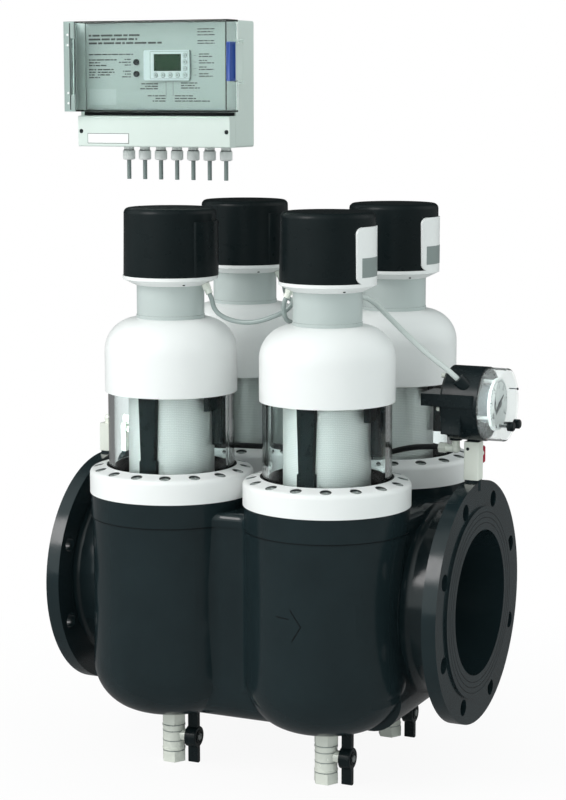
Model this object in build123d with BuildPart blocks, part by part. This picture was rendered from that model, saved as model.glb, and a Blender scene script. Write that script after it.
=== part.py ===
from build123d import *
from math import atan2, cos, degrees, pi, radians, sin, sqrt, tan
import os

# Self cleaning filter: four filter units on one flanged cast housing.
# Origin: centre of the inlet flange's sealing face, +X along the pipe, +Z up, millimetres.

os.makedirs("parts", exist_ok=True)

# Pipe connection, nominal bore 200 with ten bar drilling
FACE_TO_FACE = 600.0
FLANGE_RADIUS = 170.0
FLANGE_THICKNESS = 20.0
RAISED_FACE_RADIUS = 134.0
RAISED_FACE_HEIGHT = 3.0
PORT_RADIUS = 101.5
BOLT_CIRCLE_RADIUS = 147.5
BOLT_HOLE_RADIUS = 11.5
BOLT_COUNT = 8
PIPE_WALL = 20.5
PIPE_FLARE = 12.0
FLANGE_FILLET = 8.0

# Filter units
UNIT_PITCH = 238.0
BOWL_RADIUS = 112.3
BAND_STEP = 1.2
WAIST_STEP = 1.1
WAIST_Z = 30.0
RIM_Z = 146.0
SEAM_Z = 113.0
KNUCKLE_Z = -96.0
KNUCKLE_RADIUS = 70.0
CROWN_RADIUS = 300.0
CASTING_WALL = 12.3

# Webs of the casting between its bowls
SIDE_FACE = 230.0
FRONT_FACE = 177.0
WEB_TOP_Z = 132.0
WEB_TOP_ROUND = 10.0
WEB_STEP = 1.3
BELLY_Z = -166.0
BELLY_ROUND = 45.0
VALLEY_RADIUS = 22.0
VALLEY_FOOT_Z = -118.0
VALLEY_SLOPE = 60.0

# Water chambers inside the casting
DECK_TOP_Z = -38.0
DECK_THICKNESS = 12.0
CHAMBER_TOP_Z = 118.0
CHAMBER_FLOOR_Z = -150.0
POCKET_FLOOR_Z = -110.0
CHAMBER_END = 165.0
CHAMBER_WALL = 15.0
CHAMBER_HALF_WIDTH = 119.0
FRONT_POCKET_HALF = 60.0
LIP_BORE_RADIUS = 80.0
SEAT_BORE_RADIUS = 45.0
DRAIN_BOSS_RADIUS = 22.0
DRAIN_BOSS_Z = -174.0
DRAIN_BORE_RADIUS = 12.0

# Clamp ring, glass cylinder and seals
CLAMP_OVERHANG = 2.7
CLAMP_TOP_Z = 184.5
CLAMP_SLOPE = 15.0
CLAMP_ROUND = 7.0
CLAMP_HOLE_COUNT = 16
CLAMP_HOLE_INSET = 12.0
CLAMP_HOLE_RADIUS = 4.5
CLAMP_SINK_RADIUS = 8.0
CLAMP_SINK_DEPTH = 20.0
GLASS_RADIUS = 88.2
GLASS_WALL = 8.0
GLASS_FOOT_RADIUS = 94.0
GLASS_FOOT_HEIGHT = 12.0
GLASS_TOP_Z = 299.0
GASKET_THICKNESS = 4.0
LIP_SEAL_WIDTH = 3.2
LIP_SEAL_DROP = 0.5
SEAT_CLEARANCE = 0.3

# Bell and neck
BELL_RADIUS = 92.35
BELL_BOTTOM_Z = 288.3
BELL_SHOULDER_Z = 345.0
BELL_TOP_Z = 391.0
BELL_WALL = 9.0
BELL_CROWN_WALL = 10.0
BELL_HUB_RADIUS = 18.0
BELL_HUB_DEPTH = 15.0
NECK_RADIUS = 47.0
NECK_WALL = 6.0
NECK_FOOT_STEP = 0.7
NECK_FOOT_HEIGHT = 4.3

# Head with its gearmotor
HEAD_BOTTOM_Z = 437.0
HEAD_BASE_HEIGHT = 13.0
HEAD_TOP_Z = 544.4
HEAD_BASE_RADIUS = 66.3
HEAD_BASE_RIM = 4.5
HEAD_BASE_FOOT_RADIUS = 49.0
HEAD_BORE_RADIUS = 12.0
CAP_RADIUS = 65.2
CAP_TOP_RADIUS = 64.0
CAP_ROUND = 7.5
CAP_CROWN = 1.2
CAP_WALL = 3.0
PANEL_HALF_WIDTH = 34.0
PANEL_TOP_Z = 525.0
PANEL_CORNER = 9.0
PANEL_RADIUS = 66.3
PANEL_THICKNESS = 4.0
PANEL_GAP = 0.3
GEARBOX_RADIUS = 38.0
GEARBOX_HEIGHT = 18.0
MOTOR_RADIUS = 24.0
MOTOR_TOP_Z = 520.0
SPIGOT_RADIUS = 10.0

# Cable glands under the heads
GLAND_CIRCLE = 54.0
GLAND_LENGTH = 15.0
GLAND_ACROSS_FLATS = 11.0
GLAND_CAP_RADIUS = 4.8
SECOND_GLAND_ANGLE = 160.0
NECK_GLAND_ANGLE = 70.0
NECK_GLAND_Z = 425.0
NECK_GLAND_RADIUS = 6.0
NECK_GLAND_LENGTH = 7.0

# Rotating sieve and its drive shaft
SIEVE_RADIUS = 60.0
SIEVE_WALL = 1.6
SIEVE_RING_HEIGHT = 7.0
SIEVE_TOP_Z = 324.0
SIEVE_BORE_RADIUS = 40.0
SHAFT_RADIUS = 8.0
SHAFT_FLANGE_RADIUS = 20.0
SHAFT_FLANGE_HEIGHT = 6.0
RUNNING_CLEARANCE = 0.06

# Fixed suction tube in front of each sieve
SUCTION_GAP = 1.5
SUCTION_DEPTH = 9.0
SUCTION_FOOT_WIDTH = 24.0
SUCTION_WAIST_WIDTH = 20.0
SUCTION_TOP_WIDTH = 27.0
SUCTION_WAIST_Z = 199.0
SUCTION_TOP_Z = 316.0
SUCTION_TUBE_RADIUS = 8.0
SUCTION_BEND_Z = -112.0
SUCTION_END_Z = -165.0
SUCTION_BEND_RADIUS = 18.0
SUCTION_COLLAR = 8.0

# Drain ball valve and its T handle
VALVE_HEX_ACROSS = 31.0
VALVE_TOP_HEX = 18.0
VALVE_NIPPLE = 8.0
VALVE_BODY_RADIUS = 15.8
VALVE_BEAD = 0.7
VALVE_BEAD_HEIGHT = 2.0
VALVE_STEM_Z = -209.0
VALVE_OUTLET_HEX = 15.3
VALVE_OUTLET_Z = -247.3
VALVE_PORT_RADIUS = 9.5
VALVE_THREAD_RADIUS = 12.05
BALL_RADIUS = 13.0
STEM_RADIUS = 4.0
VALVE_GLAND_RADIUS = 8.5
VALVE_GLAND_END = 23.7
HANDLE_START = 24.0
HANDLE_DEPTH = 16.5
HANDLE_HUB_RADIUS = 15.0
HANDLE_HALF_LENGTH = 38.0
HANDLE_THICKNESS = 8.0
HANDLE_EDGE = 1.5
HANDLE_WING_ROUND = 2.5

# Small measuring taps on the flange rims
TAP_ACROSS = 21.0
TAP_EDGE = 1.5
TAP_BOSS_RADIUS = 12.0
TAP_BOSS_TOP_Z = 173.0
TAP_THREAD_RADIUS = 6.7
TAP_THREAD_DEPTH = 12.0
TAP_STEM_Z = 205.0
INLET_TAP_TOP_Z = 214.0
OUTLET_TAP_TOP_Z = 226.0
TAP_PORT_RADIUS = 3.5
TAP_BALL_RADIUS = 6.0
TAP_STEM_RADIUS = 2.5
TAP_NECK_RADIUS = 5.0
TAP_NECK_LENGTH = 20.0
LEVER_THICKNESS = 3.0
LEVER_WIDTH = 11.0
LEVER_UP = 10.0
LEVER_DOWN = 14.0
LEVER_ROUND = 3.0

# Differential pressure gauge, axis along X
GAUGE_Z = 279.0
GAUGE_RADIUS = 51.0
GAUGE_BACK_X = 553.5
GAUGE_FRONT_X = 607.0
GAUGE_WINDOW_X = 634.6
GAUGE_WINDOW_RADIUS = 50.0
GAUGE_WINDOW_WALL = 2.5
GAUGE_LUG_LENGTH = 26.0
GAUGE_LUG_WIDTH = 17.0
GAUGE_RIB_DEPTH = 2.0
GAUGE_CHAMFER = 4.0
GAUGE_RECESS = 6.0
GAUGE_FOOT_RADIUS = 9.0
GAUGE_GLAND_ANGLE = 141.0
GAUGE_GLAND_X = 583.0
GAUGE_GLAND_RADIUS = 9.0
GAUGE_GLAND_LENGTH = 16.0
GAUGE_GLAND_DIRECTION = (-0.62, -0.35, 0.7)
DIAL_RADIUS = 36.0
DIAL_THICKNESS = 4.0
DIAL_X = 618.0
DIAL_POST_RADIUS = 2.5
DIAL_HOLE_GAP = 1.0
DIAL_POST_COUNT = 3
DIAL_POST_ANGLE = 90.0
POINTER_LENGTH = 30.0
POINTER_ANGLE = 211.0
POINTER_HUB_RADIUS = 3.5
POINTER_THICKNESS = 1.2
POINTER_PIN_RADIUS = 1.5
POINTER_TIP_WIDTH = 3.1
KNOB_RADIUS = 6.5
KNOB_LENGTH = 9.0
KNOB_STEM_RADIUS = 2.0
KNOB_CHAMFER = 1.5
KNOB_DROP = 30.0
KNOB_PLACES = (4.0, 30.0)

# Impulse hose and its nickel fittings
HOSE_RADIUS = 4.0
ELBOW_RADIUS = 6.5
ELBOW_STEP = 1.0
ELBOW_NUT_ACROSS = 13.0
ELBOW_NUT_LENGTH = 10.0
ELBOW_REACH = 24.0
INLET_ELBOW_Z = 221.0
OUTLET_ELBOW_X = 561.0
OUTLET_ELBOW_Z = 214.0

# Cables
HEAD_CABLE_RADIUS = 3.3
GAUGE_CABLE_RADIUS = 3.7
BEND_SHARE = 0.45

# Control box, beside the filter as in a set
BOX_LEFT = -21.0
BOX_RIGHT = 230.0
BOX_TOP_Z = 801.0
COVER_BOTTOM_Z = 673.0
TERMINAL_TOP_Z = 667.0
BOX_BOTTOM_Z = 623.0
BOX_FRONT_Y = -11.0
BOX_BACK_Y = 48.0
BOX_ROUND = 3.0
BOX_WALL = 3.0
BOX_FIXING_X = 230.0
BOX_FIXING_Z = 150.0
BOX_FIXING_RADIUS = 2.5
TERMINAL_DEPTH = 20.0
TERMINAL_LEFT = -14.5
TERMINAL_SCREW_RADIUS = 3.2
TERMINAL_POST_RADIUS = 5.0
TERMINAL_ROUND = 2.0
COVER_LEFT = -27.0
COVER_RIGHT = 234.0
COVER_FRONT_Y = -48.0
COVER_WALL = 2.5
COVER_ROUND = 2.0
HINGE_STRIP_WIDTH = 15.0
HINGE_RADIUS = 3.0
HINGE_PIN_RADIUS = 1.5
HINGE_KNUCKLE = 24.0
LATCH_Z = 743.0
LATCH_HEIGHT = 54.0
LATCH_X = 238.3
LATCH_Y = -5.0
LATCH_FRONT_Y = -42.0
LATCH_THICKNESS = 3.0
LATCH_EDGE = 1.0
LATCH_BARREL_RADIUS = 3.5
LATCH_PIN_RADIUS = 1.5
LATCH_EAR = 4.0
MODULE_LEFT = 86.8
MODULE_RIGHT = 160.4
MODULE_TOP_Z = 760.0
MODULE_BOTTOM_Z = 717.4
MODULE_DEPTH = 6.0
MODULE_ROUND = 3.0
SCREEN_LEFT = 103.3
SCREEN_RIGHT = 147.2
SCREEN_TOP_Z = 754.5
SCREEN_BOTTOM_Z = 730.4
SCREEN_RECESS = 1.0
BUTTON_RADIUS = 2.7
BUTTON_PROUD = 1.5
BUTTON_LENGTH = 4.2
BUTTON_CORNER_X = 153.4
BUTTON_COLUMN_COUNT = 4
BUTTON_ROW_COUNT = 5
BUTTON_ROW_Z = 724.6
BUTTON_COLUMN_STEP = 9.2
BUTTON_ROW_STEP = 11.7
LAMP_X = 72.8
LAMP_PLACES_Z = (743.3, 726.5)
LAMP_RADIUS = 3.6
LAMP_PROUD = 2.5
BOX_GLAND_COUNT = 7
BOX_GLAND_FIRST_X = 42.0
BOX_GLAND_STEP = 26.4
BOX_GLAND_Y = 18.0
BOX_GLAND_RADIUS = 8.0
BOX_GLAND_NUT_ACROSS = 17.5
BOX_GLAND_NUT_HEIGHT = 10.0
BOX_GLAND_LENGTH = 20.0
BOX_GLAND_CHAMFER = 2.0
CABLE_END_RADIUS = 3.1
CABLE_END_LENGTH = 28.0

# Places worked out from the sizes above
MID_X = FACE_TO_FACE / 2
HALF_PITCH = UNIT_PITCH / 2
PIPE_RADIUS = PORT_RADIUS + PIPE_WALL
FLANGE_BACK = RAISED_FACE_HEIGHT + FLANGE_THICKNESS
BAND_RADIUS = BOWL_RADIUS + BAND_STEP
WAIST_RADIUS = BOWL_RADIUS - WAIST_STEP
WELL_RADIUS = BOWL_RADIUS - CASTING_WALL
CLAMP_RADIUS = BOWL_RADIUS + CLAMP_OVERHANG
CLAMP_BORE = GLASS_RADIUS + LIP_SEAL_WIDTH + SEAT_CLEARANCE
CLAMP_EDGE_Z = CLAMP_TOP_Z - (CLAMP_RADIUS - CLAMP_BORE) * tan(radians(CLAMP_SLOPE))
CLAMP_HOLE_CIRCLE = CLAMP_RADIUS - CLAMP_HOLE_INSET
DECK_BOTTOM_Z = DECK_TOP_Z - DECK_THICKNESS
GLASS_BORE = GLASS_RADIUS - GLASS_WALL
GLASS_FOOT_Z = RIM_Z + GASKET_THICKNESS
GLASS_FOOT_TOP_Z = GLASS_FOOT_Z + GLASS_FOOT_HEIGHT
BELL_SEAT_Z = GLASS_TOP_Z + GASKET_THICKNESS
SUCTION_Y = -(SIEVE_RADIUS + SUCTION_GAP + SUCTION_DEPTH / 2)
SHAFT_TOP_Z = HEAD_BOTTOM_Z - SEAT_CLEARANCE
HEAD_RIM_Z = HEAD_BOTTOM_Z + HEAD_BASE_HEIGHT
INLET_TAP_X = RAISED_FACE_HEIGHT + FLANGE_THICKNESS / 2
OUTLET_TAP_X = FACE_TO_FACE - INLET_TAP_X
HINGE_X = COVER_LEFT + HINGE_STRIP_WIDTH
HINGE_Y = COVER_FRONT_Y + HINGE_RADIUS
MODULE_FACE_Y = BOX_FRONT_Y - MODULE_DEPTH
UNITS = {
    "front_left": (MID_X - HALF_PITCH, -HALF_PITCH),
    "front_right": (MID_X + HALF_PITCH, -HALF_PITCH),
    "back_left": (MID_X - HALF_PITCH, HALF_PITCH),
    "back_right": (MID_X + HALF_PITCH, HALF_PITCH),
}


def keep(part, name):
    """Label a finished piece and write its file."""
    part.label = name
    export_step(part, f"parts/{name}.step")


def keep_group(master, name):
    """One node that holds a copy of the master at each filter unit."""
    with BuildPart() as group:
        with Locations(*UNITS.values()):
            add(master)
    keep(group.part, name)


def keep_each(master, name):
    """One node at each filter unit, named after the unit."""
    for unit, place in UNITS.items():
        with BuildPart() as single:
            with Locations(place):
                add(master)
        keep(single.part, f"{name}_{unit}")


def dished_end(wall_radius, knuckle_radius, crown_radius, knuckle_z):
    """Lines of a dished end, from its straight wall to the axis, for a half profile."""
    reach = wall_radius - knuckle_radius
    rise = sqrt((crown_radius - knuckle_radius) ** 2 - reach**2)
    crown_z = knuckle_z + rise
    tilt = atan2(reach, rise)
    half = (tilt + pi / 2) / 2
    joint = (crown_radius * sin(tilt), crown_z - crown_radius * cos(tilt))
    knuckle_middle = (reach + knuckle_radius * sin(half), knuckle_z - knuckle_radius * cos(half))
    crown_middle = (crown_radius * sin(tilt / 2), crown_z - crown_radius * cos(tilt / 2))
    bottom = (0, crown_z - crown_radius)
    ThreePointArc((wall_radius, knuckle_z), knuckle_middle, joint)
    ThreePointArc(joint, crown_middle, bottom)
    return bottom


def cord_path(points, name, radius):
    """Straight runs joined by arcs as large as the runs allow, with their radii printed."""
    corners = [Vector(*point) for point in points]
    runs = [after - before for before, after in zip(corners, corners[1:])]
    radii = []
    for before, after in zip(runs, runs[1:]):
        half_turn = radians(before.get_angle(after)) / 2
        radii.append(BEND_SHARE * min(before.length, after.length) / tan(half_turn))
    length = FilletPolyline(*points, radius=radii, mode=Mode.PRIVATE).length
    print(name, "radii", [round(value, 1) for value in radii], "length", round(length, 1))
    print(name, "section times length", round(pi * radius**2 * length, 1))
    return radii


def keep_cord(points, radius, name):
    """A plain tube along a cord's route."""
    radii = cord_path(points, name, radius)
    with BuildPart() as tube:
        with BuildLine() as route:
            FilletPolyline(*points, radius=radii)
        with BuildSketch(Plane(origin=points[0], z_dir=route.line % 0)):
            Circle(radius)
        sweep()
    print(name, "volume", round(tube.part.volume, 1))
    keep(tube.part, name)


def web_section(step):
    """Horizontal section of the casting between its bowls, its valleys filleted."""
    with BuildSketch(Plane.XY) as section:
        with Locations((MID_X, 0)):
            Rectangle(2 * (SIDE_FACE + step), UNIT_PITCH)
            Rectangle(UNIT_PITCH, 2 * (FRONT_FACE + step))
        with Locations(*UNITS.values()):
            Circle(WAIST_RADIUS + step)
        valleys = section.vertices().filter_by(
            lambda corner: abs(corner.X - MID_X) < HALF_PITCH / 2 and abs(corner.Y) > HALF_PITCH
        )
        fillet(valleys, VALLEY_RADIUS)
    return section.sketch


# One bowl of the casting, on its own axis
with BuildPart() as bowl:
    with BuildSketch(Plane.XZ):
        with BuildLine():
            floor_point = dished_end(BOWL_RADIUS, KNUCKLE_RADIUS, CROWN_RADIUS, KNUCKLE_Z)
            Polyline(
                floor_point,
                (0, RIM_Z),
                (BAND_RADIUS, RIM_Z),
                (BAND_RADIUS, SEAM_Z),
                (BOWL_RADIUS, SEAM_Z),
            )
            ThreePointArc((BOWL_RADIUS, SEAM_Z), (WAIST_RADIUS, WAIST_Z), (BOWL_RADIUS, KNUCKLE_Z))
        make_face()
    revolve(axis=Axis.Z)
    with BuildSketch(Plane.XY.offset(DRAIN_BOSS_Z)):
        Circle(DRAIN_BOSS_RADIUS)
    extrude(amount=KNUCKLE_Z - DRAIN_BOSS_Z)

# Space inside one bowl: raw water above the deck, clean water below it
with BuildPart() as well:
    with BuildSketch(Plane.XY.offset(DECK_TOP_Z)):
        Circle(WELL_RADIUS)
    extrude(amount=CHAMBER_TOP_Z - DECK_TOP_Z)
    with BuildSketch(Plane.XY.offset(CHAMBER_TOP_Z)):
        Circle(LIP_BORE_RADIUS)
    extrude(amount=RIM_Z - CHAMBER_TOP_Z)
    with BuildSketch(Plane.XZ):
        with BuildLine():
            floor_point = dished_end(
                WELL_RADIUS, KNUCKLE_RADIUS - CASTING_WALL, CROWN_RADIUS - CASTING_WALL, KNUCKLE_Z
            )
            Polyline(
                floor_point,
                (0, DECK_BOTTOM_Z),
                (WELL_RADIUS, DECK_BOTTOM_Z),
                (WELL_RADIUS, KNUCKLE_Z),
            )
        make_face()
    revolve(axis=Axis.Z)
    with BuildSketch(Plane.XY.offset(DECK_BOTTOM_Z)):
        Circle(SEAT_BORE_RADIUS)
        with Locations((0, SUCTION_Y)):
            Circle(SUCTION_TUBE_RADIUS + SEAT_CLEARANCE)
    extrude(amount=DECK_THICKNESS)
    with BuildSketch(Plane.XY.offset(DRAIN_BOSS_Z)):
        Circle(DRAIN_BORE_RADIUS)
    extrude(amount=KNUCKLE_Z - DRAIN_BOSS_Z)

# Flange with its pipe stub, revolved about the pipe axis
with BuildPart() as pipe_end:
    with BuildSketch(Plane.XZ):
        with BuildLine():
            side_x = MID_X - SIDE_FACE
            Polyline(
                (0, 0),
                (0, RAISED_FACE_RADIUS),
                (RAISED_FACE_HEIGHT, RAISED_FACE_RADIUS),
                (RAISED_FACE_HEIGHT, FLANGE_RADIUS),
                (FLANGE_BACK, FLANGE_RADIUS),
                (FLANGE_BACK, PIPE_RADIUS + FLANGE_FILLET),
            )
            CenterArc((FLANGE_BACK + FLANGE_FILLET, PIPE_RADIUS + FLANGE_FILLET), FLANGE_FILLET, 180, 90)
            Line((FLANGE_BACK + FLANGE_FILLET, PIPE_RADIUS), (side_x - PIPE_FLARE, PIPE_RADIUS))
            CenterArc((side_x - PIPE_FLARE, PIPE_RADIUS + PIPE_FLARE), PIPE_FLARE, 270, 90)
            Polyline(
                (side_x, PIPE_RADIUS + PIPE_FLARE),
                (side_x + PIPE_FLARE, PIPE_RADIUS + PIPE_FLARE),
                (side_x + PIPE_FLARE, PIPE_RADIUS),
                (MID_X - HALF_PITCH, PIPE_RADIUS),
                (MID_X - HALF_PITCH, 0),
                (0, 0),
            )
        make_face()
    revolve(axis=Axis.X)
    with BuildSketch(Plane.YZ):
        with PolarLocations(BOLT_CIRCLE_RADIUS, BOLT_COUNT, start_angle=180 / BOLT_COUNT):
            Circle(BOLT_HOLE_RADIUS)
    extrude(amount=FLANGE_BACK, mode=Mode.SUBTRACT)
    with BuildSketch(Plane.XY.offset(FLANGE_RADIUS - TAP_BOSS_RADIUS)):
        with Locations((INLET_TAP_X, 0)):
            Circle(TAP_BOSS_RADIUS)
    extrude(amount=TAP_BOSS_TOP_Z - FLANGE_RADIUS + TAP_BOSS_RADIUS)
    with BuildSketch(Plane.XY.offset(TAP_BOSS_TOP_Z)):
        with Locations((INLET_TAP_X, 0)):
            Circle(TAP_THREAD_RADIUS + SEAT_CLEARANCE)
    extrude(amount=-(TAP_THREAD_DEPTH + SEAT_CLEARANCE), mode=Mode.SUBTRACT)

# Inlet duct: the port's bore up to the raw chamber, kept off the lower wells
with BuildPart() as inlet_duct:
    with BuildSketch(Plane.YZ):
        Circle(PORT_RADIUS)
    extrude(amount=MID_X - CHAMBER_END)
    with BuildSketch(Plane.XY.offset(DECK_TOP_Z)):
        with Locations(UNITS["front_left"], UNITS["back_left"]):
            Circle(WELL_RADIUS + CASTING_WALL)
    extrude(amount=-FLANGE_RADIUS, mode=Mode.SUBTRACT)

# Outlet duct: the same from the clean chamber, kept off the upper wells
with BuildPart() as outlet_duct:
    with BuildSketch(Plane.YZ.offset(FACE_TO_FACE)):
        Circle(PORT_RADIUS)
    extrude(amount=-(MID_X - CHAMBER_END))
    with BuildSketch(Plane.XY.offset(DECK_BOTTOM_Z)):
        with Locations(UNITS["front_right"], UNITS["back_right"]):
            Circle(WELL_RADIUS + CASTING_WALL)
    extrude(amount=FLANGE_RADIUS, mode=Mode.SUBTRACT)

# Webs between the bowls: their rounded belly, and the valleys that run down to it
with BuildPart() as cross_web:
    with BuildSketch(Plane.XY.offset(BELLY_Z)):
        with Locations((MID_X, 0)):
            Rectangle(UNIT_PITCH, 2 * FRONT_FACE)
    extrude(amount=SEAM_Z - BELLY_Z)
    fillet(cross_web.edges().filter_by(Axis.X).group_by(Axis.Z)[0], BELLY_ROUND)
with BuildPart() as long_web:
    with BuildSketch(Plane.XY.offset(BELLY_Z)):
        with Locations((MID_X, 0)):
            Rectangle(2 * SIDE_FACE, UNIT_PITCH)
    extrude(amount=SEAM_Z - BELLY_Z)
    fillet(long_web.edges().filter_by(Axis.Y).group_by(Axis.Z)[0], BELLY_ROUND)
with BuildPart() as valley_web:
    with BuildSketch(Plane.XY.offset(VALLEY_FOOT_Z)):
        add(web_section(0))
    extrude(amount=SEAM_Z - VALLEY_FOOT_Z)
    with BuildSketch(Plane.YZ.offset(MID_X)):
        reach = FRONT_FACE + VALLEY_RADIUS
        with BuildLine():
            Polyline(
                (0, VALLEY_FOOT_Z),
                (FRONT_FACE, VALLEY_FOOT_Z),
                (reach, VALLEY_FOOT_Z + VALLEY_SLOPE),
                (reach, SEAM_Z),
                (0, SEAM_Z),
                (0, VALLEY_FOOT_Z),
            )
        make_face()
        mirror(about=Plane.YZ)
    extrude(amount=SIDE_FACE, both=True, mode=Mode.INTERSECT)
with BuildPart() as upper_web:
    with BuildSketch(Plane.XY.offset(SEAM_Z)):
        add(web_section(WEB_STEP))
    extrude(amount=WEB_TOP_Z - SEAM_Z)
    fillet(upper_web.edges().group_by(Axis.Z)[-1], WEB_TOP_ROUND)

# Housing: one casting with four bowls, two ducts and two flanges
with BuildPart() as housing:
    add(cross_web.part)
    add(long_web.part)
    add(valley_web.part)
    add(upper_web.part)
    add(pipe_end.part)
    mirror(pipe_end.part, about=Plane.YZ.offset(MID_X))
    with Locations(*UNITS.values()):
        add(bowl.part)
    with Locations(*UNITS.values()):
        add(well.part, mode=Mode.SUBTRACT)
    with BuildSketch(Plane.XY.offset(DECK_TOP_Z)):
        with Locations((MID_X - CHAMBER_WALL / 2, 0)):
            Rectangle(2 * CHAMBER_END - CHAMBER_WALL, 2 * CHAMBER_HALF_WIDTH)
        with Locations((MID_X, 0)):
            Rectangle(2 * FRONT_POCKET_HALF, 2 * (FRONT_FACE - CASTING_WALL))
    extrude(amount=CHAMBER_TOP_Z - DECK_TOP_Z, mode=Mode.SUBTRACT)
    with BuildSketch(Plane.XY.offset(DECK_BOTTOM_Z)):
        with Locations((MID_X + CHAMBER_WALL / 2, 0)):
            Rectangle(2 * CHAMBER_END - CHAMBER_WALL, 2 * CHAMBER_HALF_WIDTH)
    extrude(amount=CHAMBER_FLOOR_Z - DECK_BOTTOM_Z, mode=Mode.SUBTRACT)
    with BuildSketch(Plane.XY.offset(DECK_BOTTOM_Z)):
        with Locations((MID_X, 0)):
            Rectangle(2 * FRONT_POCKET_HALF, 2 * (FRONT_FACE - CASTING_WALL))
    extrude(amount=POCKET_FLOOR_Z - DECK_BOTTOM_Z, mode=Mode.SUBTRACT)
    add(inlet_duct.part, mode=Mode.SUBTRACT)
    add(outlet_duct.part, mode=Mode.SUBTRACT)
keep(housing.part, "housing")

# Clamp rings: white collars that hold the glass down, sloping outwards, with sunk screw holes
with BuildPart() as clamp_ring:
    with BuildSketch(Plane.XZ):
        with BuildLine():
            Polyline(
                (GLASS_FOOT_RADIUS + SEAT_CLEARANCE, RIM_Z),
                (CLAMP_RADIUS, RIM_Z),
                (CLAMP_RADIUS, CLAMP_EDGE_Z),
                (CLAMP_BORE, CLAMP_TOP_Z),
                (CLAMP_BORE, GLASS_FOOT_TOP_Z),
                (GLASS_FOOT_RADIUS + SEAT_CLEARANCE, GLASS_FOOT_TOP_Z),
                (GLASS_FOOT_RADIUS + SEAT_CLEARANCE, RIM_Z),
            )
        make_face()
    revolve(axis=Axis.Z)
    outer_edges = clamp_ring.edges().filter_by(GeomType.CIRCLE).group_by(SortBy.RADIUS)[-1]
    fillet(outer_edges.sort_by(Axis.Z)[-1], CLAMP_ROUND)
    with BuildSketch(Plane.XY.offset(CLAMP_TOP_Z)):
        with PolarLocations(CLAMP_HOLE_CIRCLE, CLAMP_HOLE_COUNT):
            Circle(CLAMP_SINK_RADIUS)
    extrude(amount=-CLAMP_SINK_DEPTH, mode=Mode.SUBTRACT)
    with BuildSketch(Plane.XY.offset(CLAMP_TOP_Z - CLAMP_SINK_DEPTH)):
        with PolarLocations(CLAMP_HOLE_CIRCLE, CLAMP_HOLE_COUNT):
            Circle(CLAMP_HOLE_RADIUS)
    extrude(amount=RIM_Z + CLAMP_SINK_DEPTH - CLAMP_TOP_Z, mode=Mode.SUBTRACT)
keep_group(clamp_ring.part, "clamp_rings")

# Glass cylinders: clear tubes with a thick foot under the clamp ring
with BuildPart() as glass_cylinder:
    with BuildSketch(Plane.XZ):
        with BuildLine():
            Polyline(
                (GLASS_BORE, GLASS_FOOT_Z),
                (GLASS_FOOT_RADIUS, GLASS_FOOT_Z),
                (GLASS_FOOT_RADIUS, GLASS_FOOT_TOP_Z),
                (GLASS_RADIUS, GLASS_FOOT_TOP_Z),
                (GLASS_RADIUS, GLASS_TOP_Z),
                (GLASS_BORE, GLASS_TOP_Z),
                (GLASS_BORE, GLASS_FOOT_Z),
            )
        make_face()
    revolve(axis=Axis.Z)
keep_group(glass_cylinder.part, "glass_cylinders")

# Glass seals: gasket under the foot, lip ring in the collar, ring under the bell
with BuildPart() as glass_seal:
    lip_inner = GLASS_RADIUS + SEAT_CLEARANCE
    lip_outer = GLASS_RADIUS + LIP_SEAL_WIDTH
    for inner, outer, low, high in (
        (GLASS_BORE, GLASS_FOOT_RADIUS, RIM_Z, GLASS_FOOT_Z),
        (lip_inner, lip_outer, GLASS_FOOT_TOP_Z, CLAMP_TOP_Z - LIP_SEAL_DROP),
        (GLASS_BORE, GLASS_RADIUS, GLASS_TOP_Z, BELL_SEAT_Z),
    ):
        with BuildSketch(Plane.XY.offset(low)):
            Circle(outer)
            Circle(inner, mode=Mode.SUBTRACT)
        extrude(amount=high - low)
keep_group(glass_seal.part, "glass_seals")

# Bells: white bonnets that carry the drive shaft's bearing
with BuildPart() as bell:
    with BuildSketch(Plane.XZ):
        with BuildLine():
            drop = BELL_TOP_Z - BELL_SHOULDER_Z
            reach = BELL_RADIUS - NECK_RADIUS
            slant = sin(radians(45))
            lip_radius = GLASS_RADIUS + SEAT_CLEARANCE
            bore = SHAFT_RADIUS + RUNNING_CLEARANCE
            crown_z = BELL_TOP_Z - BELL_CROWN_WALL
            Line((BELL_RADIUS, BELL_BOTTOM_Z), (BELL_RADIUS, BELL_SHOULDER_Z))
            ThreePointArc(
                (BELL_RADIUS, BELL_SHOULDER_Z),
                (NECK_RADIUS + reach * slant, BELL_SHOULDER_Z + drop * slant),
                (NECK_RADIUS, BELL_TOP_Z),
            )
            Polyline(
                (NECK_RADIUS, BELL_TOP_Z),
                (bore, BELL_TOP_Z),
                (bore, crown_z - BELL_HUB_DEPTH),
                (BELL_HUB_RADIUS, crown_z - BELL_HUB_DEPTH),
                (BELL_HUB_RADIUS, crown_z),
                (NECK_RADIUS, crown_z),
            )
            ThreePointArc(
                (NECK_RADIUS, crown_z),
                (
                    NECK_RADIUS + (reach - BELL_WALL) * slant,
                    BELL_SHOULDER_Z + (drop - BELL_CROWN_WALL) * slant,
                ),
                (BELL_RADIUS - BELL_WALL, BELL_SHOULDER_Z),
            )
            Polyline(
                (BELL_RADIUS - BELL_WALL, BELL_SHOULDER_Z),
                (BELL_RADIUS - BELL_WALL, BELL_SEAT_Z),
                (lip_radius, BELL_SEAT_Z),
                (lip_radius, BELL_BOTTOM_Z),
                (BELL_RADIUS, BELL_BOTTOM_Z),
            )
        make_face()
    revolve(axis=Axis.Z)
keep_group(bell.part, "bells")

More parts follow.
